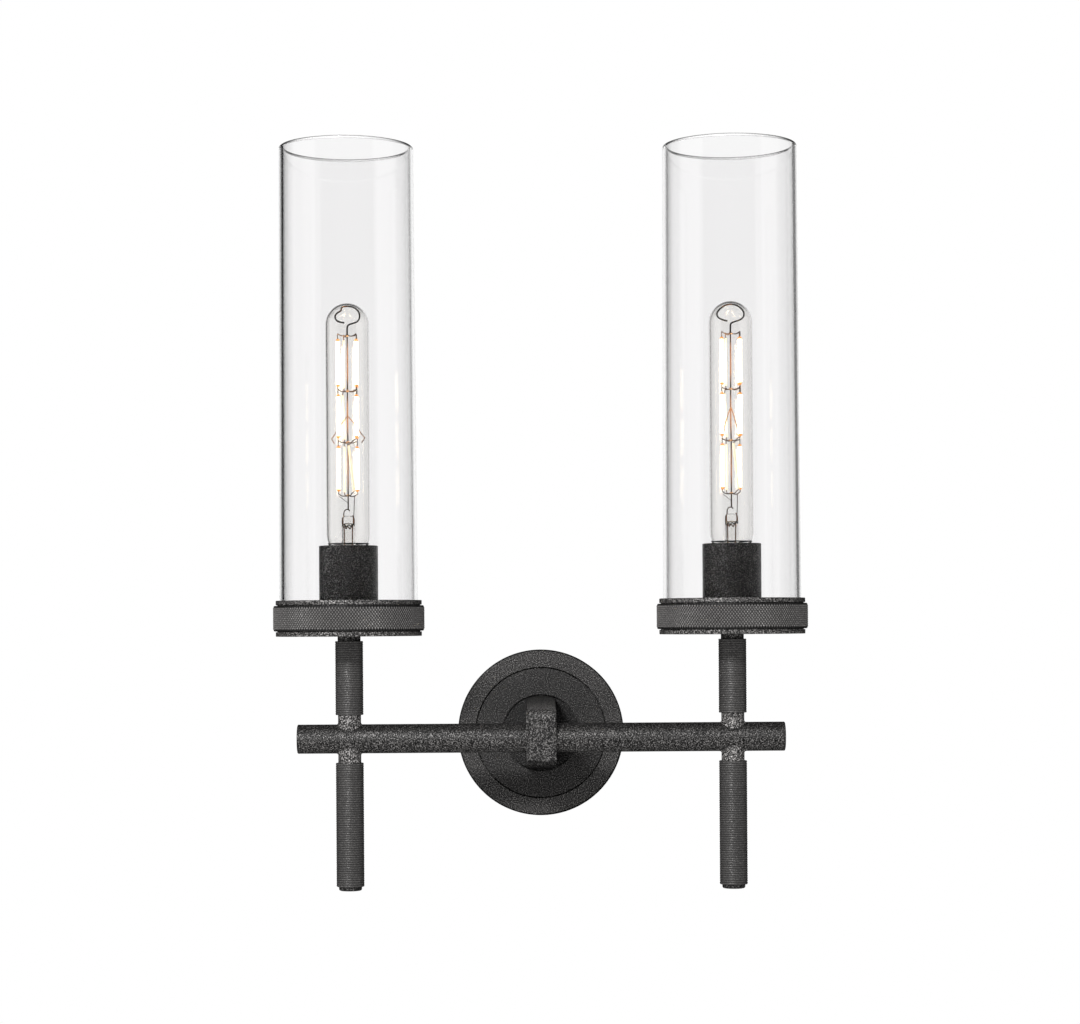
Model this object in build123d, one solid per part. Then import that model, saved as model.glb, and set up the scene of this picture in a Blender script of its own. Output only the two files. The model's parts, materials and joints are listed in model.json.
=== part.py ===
from build123d import *
import os
from math import sqrt

# Two-lamp vanity light: a round wall canopy carries a tongue-shaped arm, the arm carries a
# horizontal bar, and a ribbed stem crosses the bar near each end. Each stem holds a shade cup
# with a knurled band, a socket, a tubular filament bulb and an open clear glass cylinder.
# Frame: millimetres, +Z up, +X to the right seen from the room, the wall is the plane y = 0
# and the room is on the -Y side. The origin is the canopy's centre on the wall.

# Wall canopy: a turned shell with a face disc let into it
canopy_diameter = 127.0
canopy_depth = 20.0
canopy_wall = 2.0
canopy_edge_round = 1.2
ring_width = 13.1            # front ring, from the rim to the first shadow gap
shadow_gap = 1.1             # gap between the nested discs
disc_thickness = 5.5
ledge_thickness = 2.0        # shell ledge that the face disc rests on

# Arm: a hub disc and a tapered tongue with a rounded nose
hub_diameter = 56.8
hub_seat_depth = 3.5
tongue_width = 22.0
tongue_nose_half = 21.2      # half height of the tongue where its nose begins
nose_wall = 4.9              # metal in front of the bar
nose_round = 6.5
tongue_edge_round = 0.9

# Cross bar
bar_offset = 105.0           # wall to bar axis
bar_diameter = 21.3
bar_wall = 2.3
bar_length = 357.0           # over its end caps
bar_cap_thickness = 1.5
bar_cap_spigot = 6.0
bar_edge_round = 0.6
bar_fit = 0.05               # radial room of the bar in the arm
cap_fit = 0.05               # radial room of a spigot in its tube

# Threaded tube, nuts and washers
pipe_diameter = 10.0
pipe_bore = 6.4
pipe_fit = 0.1               # radial room of a threaded tube in its hole
nut_across_flats = 14.0
nut_thickness = 4.0
washer_thickness = 1.2
washer_overhang = 3.0        # washer radius beyond the tube
pipe_tail = 3.0              # tube beyond the arm nut

# Mounting bracket behind the canopy
bracket_sheet = 2.0
bracket_width = 20.0
bracket_room = 1.5           # bracket corners to the canopy's inner wall
bracket_tab_reach = 11.0
side_screw_height = 7.0      # canopy side screws, from the wall
side_screw_diameter = 3.9
side_screw_room = 0.05       # radial room in the tapped hole
side_screw_head_diameter = 7.0
side_screw_head_height = 2.2
side_screw_bite = 2.5        # screw past the tab's inner face
side_screw_clearance = 0.25  # radial room in the canopy's rim
box_slot_spacing = 81.0
box_slot_length = 18.0
box_slot_width = 5.0
wire_hole_diameter = 14.0
ground_screw_place = 19.5    # from the bracket's centre
ground_screw_diameter = 3.9
ground_screw_head_diameter = 7.6
ground_screw_head_height = 2.4

# Stems and ribbed sleeves
stem_spacing = 281.0
stem_diameter = 16.8
weld_round = 1.4             # fillet where a stem meets the bar
sleeve_diameter = 20.5
sleeve_fit = 0.05            # radial room of a sleeve on its stem
rib_pitch = 1.68             # turned rings along a sleeve
rib_depth = 0.3
neck_length = 7.0            # bare stem between bar and sleeve
upper_sleeve_length = 54.0
upper_neck_length = 3.6      # bare stem between upper sleeve and shade cup
lower_sleeve_length = 90.4
tip_height = 3.0
tip_round = 1.2
tip_spigot = 8.0
stem_pipe_bite = 12.0        # threaded tube inside a stem

# Shade cup, knurled band, gasket and glass
cup_diameter = 106.7
cup_wall = 2.1
cup_floor = 3.0
lip_height = 3.8             # plain lip above and below the band
lip_round = 0.4
band_diameter = 110.9
band_height = 18.6
band_fit = 0.05              # radial room of the band on the cup
band_round = 0.8
gasket_thickness = 1.5
gasket_width = 5.5
glass_room = 0.55            # radial room of the glass in the cup
glass_rim_diameter = 98.3
glass_wall = 3.0
glass_length = 353.6
glass_rim_round = 1.3

# Socket
socket_cup_diameter = 43.1
socket_cup_wall = 1.2
socket_cup_floor = 1.5
socket_cup_height = 63.2
socket_cup_round = 0.5
socket_diameter = 36.0
socket_height = 50.0
socket_top_round = 1.0
socket_well_depth = 30.0
socket_pipe_bite = 8.0       # threaded tube inside the socket
socket_lift = 1.0            # socket above the lamp nut
shell_wall = 0.7
shell_height = 24.0
shell_setback = 2.0          # screw shell below the socket's top
shell_fit = 0.1              # radial room of the screw shell in the socket
contact_width = 6.0
contact_sheet = 0.6
contact_rise = 3.0
contact_foot = 5.0
contact_slope = 4.0
contact_pad = 6.0

# Bulb
bulb_diameter = 32.0
bulb_length = 211.2
bulb_wall = 0.8
bulb_seat_gap = 0.2          # eyelet above the socket contact
bulb_base_diameter = 26.2
bulb_base_height = 23.0
bulb_base_wall = 0.6
bulb_thread_room = 0.4       # radial room of the bulb base in the screw shell
bulb_neck_length = 11.0      # glass from the base to full diameter
bulb_neck_sink = 3.0         # glass inside the base
bulb_shoulder_round = 14.0
eyelet_diameter = 9.6
eyelet_height = 1.5
eyelet_round = 1.0
insulator_height = 4.5
insulator_top_diameter = 22.0
insulator_foot_diameter = 12.0
mount_diameter = 9.7         # glass mount inside the bulb
mount_height = 26.4          # above the bulb's base
mount_top_round = 0.8
mount_flare_edge = 1.0
mount_flare_height = 8.0
mount_flare_round = 5.0
filament_diameter = 2.2
filament_circle = 14.6       # circle that the filaments stand on
filament_turn = 25.0         # degrees of the first filament from the X axis
filaments_per_tier = 4
filament_tab = 3.6           # bare wire between a filament and its spider
lowest_spider = 69.5         # above the eyelet's foot
crown_room = 22.8            # top spider to the bulb's top
tier_lengths = (39.5, 38.2, 41.2)   # shared out between the lowest and the top spider
wire_diameter = 0.9          # centre wire
arm_wire_diameter = 0.7      # spider arms, supports, loop and lead-in wires
pin_wire_diameter = 0.6      # wire ends of the filaments
bead_diameter = 2.6
support_rise = 19.0          # top of the side supports above the second spider
support_drop = 15.5          # supports' widest place below their top
support_reach = 13.5
support_return = 2.2         # supports' ends turn back by this much
support_return_drop = 4.0
support_bend = 0.8
support_room = 0.4           # crown loop to the dome
crown_loop_diameter = 15.5   # open wire loop under the dome
crown_loop_opening = 40.0    # degrees left open in the loop
lead_in_place = 3.4          # lead-in wires from the bulb's axis
lead_hook_rise = 4.7
lead_hook_bend = 2.0

# Lamp leads inside the tubes
lead_diameter = 1.8
lead_pitch = 2.2
lead_bend = 4.0

# Places worked out from the sizes above
canopy_radius = canopy_diameter / 2
canopy_inner_radius = canopy_radius - canopy_wall
ring_inner_radius = canopy_radius - ring_width
disc_radius = ring_inner_radius - shadow_gap
disc_back = canopy_depth - disc_thickness
ledge_back = disc_back - ledge_thickness
hub_radius = hub_diameter / 2
hub_seat = canopy_depth - hub_seat_depth
bar_radius = bar_diameter / 2
bar_bore = bar_radius - bar_wall
tongue_front = bar_offset + bar_radius + nose_wall
pipe_radius = pipe_diameter / 2
pipe_hole = pipe_radius + pipe_fit
pipe_bore_radius = pipe_bore / 2
arm_nut_back = ledge_back - washer_thickness - nut_thickness
arm_pipe_back = arm_nut_back - pipe_tail
arm_pipe_front = bar_offset - bar_bore + pipe_fit
bracket_half_width = bracket_width / 2
bracket_half_length = sqrt((canopy_inner_radius - bracket_room) ** 2 - bracket_half_width ** 2)
stem_radius = stem_diameter / 2
sleeve_radius = sleeve_diameter / 2
sleeve_start = bar_radius + neck_length
upper_sleeve_end = sleeve_start + upper_sleeve_length
cup_bottom = upper_sleeve_end + upper_neck_length
lower_end = -(sleeve_start + lower_sleeve_length)
stem_pipe_half = bar_radius + stem_pipe_bite
cup_radius = cup_diameter / 2
cup_inner_radius = cup_radius - cup_wall
cup_floor_top = cup_bottom + cup_floor
band_bottom = cup_bottom + lip_height
band_top = band_bottom + band_height
cup_top = band_top + lip_height
glass_bottom = cup_floor_top + gasket_thickness
glass_top = glass_bottom + glass_length
socket_cup_radius = socket_cup_diameter / 2
lamp_nut_bottom = cup_floor_top + socket_cup_floor
socket_bottom = lamp_nut_bottom + nut_thickness + socket_lift
socket_top = socket_bottom + socket_height
socket_well_floor = socket_top - socket_well_depth
lamp_pipe_top = socket_bottom + socket_pipe_bite
lamp_pipe_bottom = cup_bottom - stem_pipe_bite
bulb_base_radius = bulb_base_diameter / 2
shell_bore = bulb_base_radius + bulb_thread_room
shell_radius = shell_bore + shell_wall
bulb_foot = socket_well_floor + contact_rise + bulb_seat_gap
insulator_bottom = bulb_foot + eyelet_height
base_bottom = insulator_bottom + insulator_height
base_top = base_bottom + bulb_base_height
bulb_radius = bulb_diameter / 2
bulb_top = bulb_foot + bulb_length
bulb_neck_radius = bulb_base_radius - bulb_base_wall
mount_top = base_top + mount_height
filament_circle_radius = filament_circle / 2
tier_scale = (bulb_length - crown_room - lowest_spider) / sum(tier_lengths)
tier_starts = [sum(tier_lengths[:tier]) for tier in range(len(tier_lengths) + 1)]
spiders = [bulb_foot + lowest_spider + tier_scale * start for start in tier_starts]


# Working shapes

def turned(outline, rounds=()):
    """Solid of revolution about Z from a closed outline of (radius, height) points.

    rounds lists (point of the outline, radius) for the corners that are rounded.
    """
    face = make_face(Polyline(*outline, close=True))
    for point, radius in rounds:
        corner = face.vertices().sort_by_distance((*point, 0))[0]
        face = fillet(corner, radius)
    return revolve(Plane.XZ * face, Axis.Z)


def tube(outer_radius, inner_radius, bottom, top, edge=0.0):
    """Plain tube about Z; edge rounds its two outer corners."""
    outline = [(inner_radius, bottom), (outer_radius, bottom), (outer_radius, top), (inner_radius, top)]
    rounds = [(corner, edge) for corner in outline[1:3]] if edge else []
    return turned(outline, rounds)


def rod(radius, bottom, top):
    """Plain round bar about Z."""
    return Pos(0, 0, bottom) * Cylinder(radius, top - bottom, align=(Align.CENTER, Align.CENTER, Align.MIN))


def hexagon_nut(bottom):
    """Hexagon nut about Z for the threaded tube."""
    prism = extrude(RegularPolygon(nut_across_flats / 2, 6, major_radius=False), nut_thickness)
    return Pos(0, 0, bottom) * prism - rod(pipe_hole, bottom, bottom + nut_thickness)


def off_wall(shape):
    """Turns a shape built along +Z so that its height becomes its distance from the wall."""
    return Rot(90, 0, 0) * shape


def along_bar(shape):
    """Turns a shape built along +Z so that it lies along +X."""
    return Rot(0, 90, 0) * shape


def wire(points, radius, bend):
    """Round wire along straight runs joined by tangent arcs."""
    path = FilletPolyline(*points, radius=bend)
    section = Plane(origin=path @ 0, z_dir=path % 0) * Circle(radius)
    return sweep(section, path)


# Wall canopy and mounting bracket

def mounting_bracket():
    """Sheet-metal strip with two forward tabs, screw slots and a wire hole."""
    outer = Pos(0, bracket_tab_reach / 2) * Rectangle(2 * bracket_half_length, bracket_tab_reach)
    inner_reach = bracket_tab_reach - bracket_sheet
    inner = Rectangle(2 * (bracket_half_length - bracket_sheet), inner_reach)
    outer = fillet(outer.vertices().group_by(Axis.Y)[0], 1.5 * bracket_sheet)
    inner = fillet(inner.vertices().group_by(Axis.Y)[0], 0.5 * bracket_sheet)
    section = outer - Pos(0, bracket_sheet + inner_reach / 2) * inner
    strip = Rot(180, 0, 0) * extrude(section, bracket_half_width, both=True)
    slot = off_wall(extrude(SlotOverall(box_slot_length, box_slot_width), 2 * bracket_sheet, both=True))
    for side in (-1, 1):
        strip -= Pos(side * box_slot_spacing / 2, 0, 0) * slot
    strip -= off_wall(rod(wire_hole_diameter / 2, -bracket_sheet, 2 * bracket_sheet))
    strip -= Pos(-ground_screw_place, 0, 0) * off_wall(rod(ground_screw_diameter / 2, -1, 2 * bracket_sheet))
    tapped = rod(side_screw_diameter / 2 + side_screw_room, -canopy_radius, canopy_radius)
    return strip - Pos(0, -side_screw_height, 0) * along_bar(tapped)


def ground_screw():
    """Pan-head earth screw, flush with the bracket's back."""
    shank = rod(ground_screw_diameter / 2, 0, bracket_sheet)
    head_top = bracket_sheet + ground_screw_head_height
    head_radius = ground_screw_head_diameter / 2
    head = turned(
        [(0, bracket_sheet), (head_radius, bracket_sheet), (head_radius, head_top), (0, head_top)],
        [((head_radius, head_top), ground_screw_head_height / 2)],
    )
    return Pos(-ground_screw_place, 0, 0) * off_wall(shank + head)


def canopy_shell():
    """Turned shell: rim wall, front ring and the ledge behind the face disc."""
    outline = [
        (canopy_radius, 0),
        (canopy_radius, canopy_depth),
        (ring_inner_radius, canopy_depth),
        (ring_inner_radius, disc_back),
        (pipe_hole, disc_back),
        (pipe_hole, ledge_back),
        (canopy_inner_radius, ledge_back),
        (canopy_inner_radius, 0),
    ]
    shell = off_wall(turned(outline, [(outline[1], canopy_edge_round)]))
    clearance_hole = rod(side_screw_diameter / 2 + side_screw_clearance, -canopy_diameter, canopy_diameter)
    return shell - Pos(0, -side_screw_height, 0) * along_bar(clearance_hole)


def canopy_face_disc():
    """Disc let into the shell, with a recess for the arm's hub."""
    hub_recess = hub_radius + shadow_gap
    outline = [
        (pipe_hole, disc_back),
        (disc_radius, disc_back),
        (disc_radius, canopy_depth),
        (hub_recess, canopy_depth),
        (hub_recess, hub_seat),
        (pipe_hole, hub_seat),
    ]
    return off_wall(turned(outline))


def canopy_side_screws():
    """Two pan-head screws through the canopy's rim into the bracket's tabs."""
    head_radius = side_screw_head_diameter / 2
    head_top = canopy_radius + side_screw_head_height
    tip = bracket_half_length - bracket_sheet - side_screw_bite
    shank = rod(side_screw_diameter / 2, tip, canopy_radius)
    head = turned(
        [(0, canopy_radius), (head_radius, canopy_radius), (head_radius, head_top), (0, head_top)],
        [((head_radius, head_top), side_screw_head_height / 2)],
    )
    return [Pos(0, -side_screw_height, 0) * Rot(0, side * 90, 0) * (shank + head) for side in (-1, 1)]


# Arm and cross bar

def arm_bracket():
    """Hub disc and tongue in one casting, bored for the bar and for the threaded tube."""
    nose_low = (tongue_front, -tongue_nose_half)
    nose_high = (tongue_front, tongue_nose_half)
    outline = Polyline((hub_seat, -hub_radius), nose_low, nose_high, (hub_seat, hub_radius), close=True)
    side_view = make_face(outline)
    side_view = fillet(side_view.vertices().group_by(Axis.X)[-1], nose_round)
    slab = extrude(side_view, tongue_width / 2, both=True)
    long_edges = slab.edges().filter_by(GeomType.LINE).filter_by(Axis.Z, reverse=True)
    long_edges = long_edges + slab.edges().filter_by(GeomType.CIRCLE)
    long_edges = [edge for edge in long_edges if edge.center().X > hub_seat + tongue_edge_round]
    slab = fillet(long_edges, tongue_edge_round)
    tongue = Rot(0, -90, 0) * slab & rod(hub_radius, hub_seat, tongue_front)
    casting = off_wall(tongue + rod(hub_radius, hub_seat, canopy_depth))
    bar_hole = rod(bar_radius + bar_fit, -tongue_width, tongue_width)
    casting -= Pos(0, -bar_offset, 0) * along_bar(bar_hole)
    return casting - off_wall(rod(pipe_hole, 0, bar_offset))


def arm_pipe():
    """Threaded tube from the bar through the arm and the canopy."""
    return off_wall(tube(pipe_radius, pipe_bore_radius, arm_pipe_back, arm_pipe_front))


def arm_lock_washer():
    """Washer under the arm nut."""
    return off_wall(tube(pipe_radius + washer_overhang, pipe_hole, ledge_back - washer_thickness, ledge_back))


def arm_nut():
    """Nut that clamps canopy, arm and bar together."""
    return off_wall(hexagon_nut(arm_nut_back))


def cross_bar():
    """Round tube with holes for the arm's tube and the stems' tubes."""
    half = bar_length / 2 - bar_cap_thickness
    bar = along_bar(tube(bar_radius, bar_bore, -half, half))
    bar -= off_wall(rod(pipe_hole, -bar_radius, 0))
    for side in (-1, 1):
        bar -= Pos(side * stem_spacing / 2, 0, 0) * rod(pipe_hole, -bar_diameter, bar_diameter)
    return Pos(0, -bar_offset, 0) * bar


def bar_end_caps():
    """Two flat caps, each with a spigot inside the bar."""
    face = bar_length / 2
    seat = face - bar_cap_thickness
    spigot = bar_bore - cap_fit
    outline = [(0, seat - bar_cap_spigot), (spigot, seat - bar_cap_spigot), (spigot, seat)]
    outline += [(bar_radius, seat), (bar_radius, face), (0, face)]
    cap = turned(outline, [((bar_radius, face), bar_edge_round)])
    return [Pos(0, -bar_offset, 0) * Rot(0, side * 90, 0) * cap for side in (-1, 1)]


# Stems, built about the lamp's axis with the bar's axis at height 0

def stem_pipe(side):
    """Threaded tube across the bar, with a window on the side of the arm for the leads."""
    pipe = tube(pipe_radius, pipe_bore_radius, -stem_pipe_half, stem_pipe_half)
    window = Box(pipe_radius, pipe_bore, bar_bore, align=(Align.MIN, Align.CENTER, Align.CENTER))
    return pipe - (window if side < 0 else Rot(0, 0, 180) * window)


def stem(end):
    """Stem tube from the bar to height end, with a filleted saddle on the bar."""
    solid_bar = along_bar(rod(bar_radius, -sleeve_diameter, sleeve_diameter))
    outside = rod(stem_radius, min(0, end), max(0, end))
    joined = solid_bar + outside
    seam = [edge for edge in joined.edges() if edge.geom_type == GeomType.OTHER]
    seam += [edge for edge in joined.edges() if edge.geom_type == GeomType.BSPLINE]
    joined = fillet(seam, weld_round)
    return joined - solid_bar - rod(pipe_hole, -abs(end), abs(end))


def upper_stem():
    """Stem between the bar and the shade cup."""
    return stem(cup_bottom)


def lower_stem():
    """Stem below the bar."""
    return stem(lower_end)


def ribbed_sleeve(bottom, top):
    """Sleeve on the stem, turned with a row of rings from end to end."""
    ribs = round((top - bottom) / rib_pitch)
    pitch = (top - bottom) / ribs
    bore = stem_radius + sleeve_fit
    root = sleeve_radius - rib_depth
    outline = [(bore, top), (bore, bottom), (root, bottom)]
    for rib in range(ribs):
        start = bottom + rib * pitch
        outline += [(sleeve_radius, start + pitch / 2), (root, start + pitch)]
    return turned(outline)


def upper_sleeve():
    """Ribbed sleeve above the bar."""
    return ribbed_sleeve(sleeve_start, upper_sleeve_end)


def lower_sleeve():
    """Ribbed sleeve below the bar."""
    return ribbed_sleeve(lower_end, -sleeve_start)


def stem_tip():
    """Rounded plug in the stem's lower end."""
    spigot = pipe_hole - cap_fit
    foot = lower_end - tip_height
    outline = [(0, foot), (stem_radius, foot), (stem_radius, lower_end), (spigot, lower_end)]
    outline += [(spigot, lower_end + tip_spigot), (0, lower_end + tip_spigot)]
    return turned(outline, [((stem_radius, foot), tip_round)])


# Shade cup and glass

def shade_cup():
    """Turned dish with a plain lip above and below the band."""
    outline = [
        (pipe_hole, cup_bottom),
        (cup_radius, cup_bottom),
        (cup_radius, cup_top),
        (cup_inner_radius, cup_top),
        (cup_inner_radius, cup_floor_top),
        (pipe_hole, cup_floor_top),
    ]
    return turned(outline, [(corner, lip_round) for corner in outline[1:4]])


def knurled_band():
    """Ring round the cup that carries the knurl."""
    return tube(band_diameter / 2, cup_radius + band_fit, band_bottom, band_top, band_round)


def shade_gasket():
    """Flat ring between cup floor and glass."""
    outer = cup_inner_radius - glass_room / 2
    return tube(outer, outer - gasket_width, cup_floor_top, glass_bottom)


def glass_shade():
    """Open glass cylinder, a little narrower at its rim, with a fire-polished edge."""
    foot = cup_inner_radius - glass_room
    rim = glass_rim_diameter / 2
    outline = [
        (foot - glass_wall, glass_bottom),
        (foot, glass_bottom),
        (rim, glass_top),
        (rim - glass_wall, glass_top),
    ]
    return turned(outline, [(corner, glass_rim_round) for corner in outline[2:4]])


# Socket

def lamp_pipe():
    """Threaded tube from the upper stem through cup and socket cup into the socket."""
    return tube(pipe_radius, pipe_bore_radius, lamp_pipe_bottom, lamp_pipe_top)


def lamp_nut():
    """Nut that clamps cup and socket cup to the stem."""
    return hexagon_nut(lamp_nut_bottom)


def socket_cup():
    """Plain cup round the socket."""
    inner = socket_cup_radius - socket_cup_wall
    top = cup_floor_top + socket_cup_height
    outline = [
        (pipe_hole, cup_floor_top),
        (socket_cup_radius, cup_floor_top),
        (socket_cup_radius, top),
        (inner, top),
        (inner, lamp_nut_bottom),
        (pipe_hole, lamp_nut_bottom),
    ]
    return turned(outline, [(corner, socket_cup_round) for corner in outline[2:4]])


def socket_body():
    """Moulded socket with a well for the screw shell and a threaded hole below."""
    radius = socket_diameter / 2
    well = shell_radius + shell_fit
    outline = [
        (0, lamp_pipe_top),
        (pipe_hole, lamp_pipe_top),
        (pipe_hole, socket_bottom),
        (radius, socket_bottom),
        (radius, socket_top),
        (well, socket_top),
        (well, socket_well_floor),
        (0, socket_well_floor),
    ]
    return turned(outline, [(outline[4], socket_top_round)])


def socket_shell():
    """Screw shell that takes the bulb's base."""
    top = socket_top - shell_setback
    return tube(shell_radius, shell_bore, top - shell_height, top)


def socket_contact():
    """Sprung centre contact: a foot on the well floor, a slope and a pad under the eyelet."""
    pad = contact_pad / 2
    slope = pad + contact_slope
    foot = slope + contact_foot
    rise = contact_rise
    lower = [(-foot, 0), (-slope, 0), (-pad, rise - contact_sheet), (pad, rise - contact_sheet)]
    upper = [(pad, rise), (-pad, rise), (-slope, contact_sheet), (-foot, contact_sheet)]
    section = make_face(Polyline(*lower, *upper, close=True))
    strip = extrude(Plane.XZ * section, contact_width / 2, both=True)
    return Pos(0, 0, socket_well_floor) * strip


# Bulb

def bulb_form(inset):
    """Bulb's outside drawn in by inset: neck, shoulder, straight side and round dome."""
    neck = bulb_neck_radius - inset
    side = bulb_radius - inset
    foot = base_top - bulb_neck_sink
    side_start = (side, base_top + bulb_neck_length)
    dome_start = bulb_top - bulb_radius
    flank = Polyline((0, foot), (neck, foot), (neck, base_top), side_start, (side, dome_start))
    dome = CenterArc((0, dome_start), side, 0, 90)
    axis = Line((0, dome_start + side), (0, foot))
    face = make_face(flank + dome + axis)
    shoulder = face.vertices().sort_by_distance((*side_start, 0))[0]
    return revolve(Plane.XZ * fillet(shoulder, bulb_shoulder_round), Axis.Z)


def bulb_glass():
    """Thin tubular envelope, open at its neck."""
    return bulb_form(0) - bulb_form(bulb_wall)


def bulb_base():
    """Screw base cemented to the neck."""
    floor_top = base_bottom + bulb_base_wall
    hole = insulator_top_diameter / 2
    outline = [
        (hole, base_bottom),
        (bulb_base_radius, base_bottom),
        (bulb_base_radius, base_top),
        (bulb_neck_radius, base_top),
        (bulb_neck_radius, floor_top),
        (hole, floor_top),
    ]
    return turned(outline)


def bulb_insulator():
    """Insulating cone between base and eyelet."""
    top = insulator_top_diameter / 2
    foot = insulator_foot_diameter / 2
    floor_top = base_bottom + bulb_base_wall
    cone = [(0, insulator_bottom), (foot, insulator_bottom), (top, base_bottom)]
    return turned([*cone, (top, floor_top), (0, floor_top)])


def bulb_eyelet():
    """Centre contact of the bulb."""
    radius = eyelet_diameter / 2
    outline = [(0, bulb_foot), (radius, bulb_foot), (radius, insulator_bottom), (0, insulator_bottom)]
    return turned(outline, [((radius, bulb_foot), eyelet_round)])


def bulb_mount():
    """Glass mount: a flared foot in the neck and a pressed column."""
    column = mount_diameter / 2
    flare = bulb_neck_radius - bulb_wall
    foot = base_top - bulb_neck_sink
    outline = [
        (0, foot),
        (flare, foot),
        (flare, foot + mount_flare_edge),
        (column, foot + mount_flare_height),
        (column, mount_top),
        (0, mount_top),
    ]
    return turned(outline, [(outline[3], mount_flare_round), (outline[4], mount_top_round)])


def around_bulb(angle, shape):
    """Turns a bulb shape about the lamp's axis, from the first filament's angle."""
    return Rot(0, 0, filament_turn + angle) * shape


def filament_frame():
    """Centre wire with spiders, pins, side supports, crown loop and the two lead-in wires."""
    centre = wire_diameter / 2
    thin = arm_wire_diameter / 2
    pin_radius = pin_wire_diameter / 2
    hook = mount_top + lead_hook_rise
    frame = rod(centre, hook - centre, spiders[-1])
    for place, height in enumerate(spiders):
        pin_low = height if place == 0 else height - filament_tab
        pin_high = height if place == len(spiders) - 1 else height + filament_tab
        arm = Pos(0, 0, height) * along_bar(rod(thin, 0, filament_circle_radius))
        pin = Pos(filament_circle_radius, 0, 0) * rod(pin_radius, pin_low, pin_high)
        frame += Pos(0, 0, height) * Sphere(bead_diameter / 2)
        for step in range(filaments_per_tier):
            frame += around_bulb(step * 360 / filaments_per_tier, arm + pin)
    apex = spiders[1] + support_rise
    widest = (support_reach, 0, apex - support_drop)
    returned = (support_reach - support_return, 0, apex - support_drop - support_return_drop)
    brace = wire([(0, 0, apex), widest, returned], thin, support_bend)
    loop_radius = crown_loop_diameter / 2
    loop_height = bulb_top - bulb_wall - support_room - thin - loop_radius
    loop_path = Plane.XZ * CenterArc((0, 0), loop_radius, -90, 360 - crown_loop_opening)
    loop = Pos(0, 0, loop_height) * sweep(Plane.YZ * Pos(0, -loop_radius) * Circle(thin), loop_path)
    riser = rod(centre, spiders[-1], loop_height - loop_radius)
    straight_lead = Pos(lead_in_place, 0, 0) * rod(pin_radius, mount_top, spiders[0])
    hook_points = [(-lead_in_place, 0, mount_top), (-lead_in_place, 0, hook), (0, 0, hook)]
    hooked_lead = wire(hook_points, thin, lead_hook_bend)
    between = -180 / filaments_per_tier
    for angle, piece in (
        (between, brace),
        (between + 180, brace),
        (0, loop),
        (0, riser),
        (0, straight_lead),
        (0, hooked_lead),
    ):
        frame += around_bulb(angle, piece)
    return frame


def led_filaments():
    """Coated filament rods between the spiders' pins."""
    rods = []
    for low, high in zip(spiders, spiders[1:]):
        filament = rod(filament_diameter / 2, low + filament_tab, high - filament_tab)
        for step in range(filaments_per_tier):
            angle = step * 360 / filaments_per_tier
            rods.append(around_bulb(angle, Pos(filament_circle_radius, 0, 0) * filament))
    return rods


def lamp_leads(side):
    """Two insulated leads from the socket through stem, bar and arm to the canopy.

    The left lamp's pair runs above the right lamp's pair in the bar and in the arm's tube.
    """
    lamp = side * stem_spacing / 2
    run = -side * lead_pitch / 2
    leads = []
    for row in (-1, 1):
        shift = row * lead_pitch / 2
        turn = side * shift
        points = [
            (lamp, shift - bar_offset, lamp_pipe_top),
            (lamp, shift - bar_offset, run),
            (turn, shift - bar_offset, run),
            (turn, -arm_pipe_back, run),
        ]
        leads.append(wire(points, lead_diameter / 2, lead_bend))
    return leads


# Export: one file for each node

def save(name, shape):
    """Writes a solid, or a group of separate solids, under its node's name."""
    solids = shape if isinstance(shape, list) else [shape]
    export_step(Compound(children=[Part(solid.wrapped) for solid in solids]), f"parts/{name}.step")


wall_and_bar = (
    mounting_bracket,
    ground_screw,
    canopy_shell,
    canopy_face_disc,
    canopy_side_screws,
    arm_bracket,
    arm_pipe,
    arm_lock_washer,
    arm_nut,
    cross_bar,
    bar_end_caps,
)
lamp_pieces = (
    upper_stem,
    lower_stem,
    upper_sleeve,
    lower_sleeve,
    stem_tip,
    shade_cup,
    knurled_band,
    shade_gasket,
    glass_shade,
    lamp_pipe,
    lamp_nut,
    socket_cup,
    socket_body,
    socket_shell,
    socket_contact,
    bulb_glass,
    bulb_base,
    bulb_insulator,
    bulb_eyelet,
    bulb_mount,
    filament_frame,
    led_filaments,
)

os.makedirs("parts", exist_ok=True)
for make in wall_and_bar:
    save(make.__name__, make())
made = {make.__name__: make() for make in lamp_pieces}
for side, hand in ((-1, "left"), (1, "right")):
    place = Pos(side * stem_spacing / 2, -bar_offset, 0)
    save(f"{hand}_stem_pipe", place * stem_pipe(side))
    save(f"{hand}_lamp_leads", lamp_leads(side))
    for name, shape in made.items():
        solids = shape if isinstance(shape, list) else [shape]
        save(f"{hand}_{name}", [place * solid for solid in solids])
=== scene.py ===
import json
from math import atan2, cos, inf, radians, sin, tau

import bmesh
import bpy
from bpy.props import FloatProperty, FloatVectorProperty, IntProperty, PointerProperty
from bpy.types import NodeSocket, Operator, Panel, PropertyGroup
from mathutils import Matrix, Vector

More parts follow.
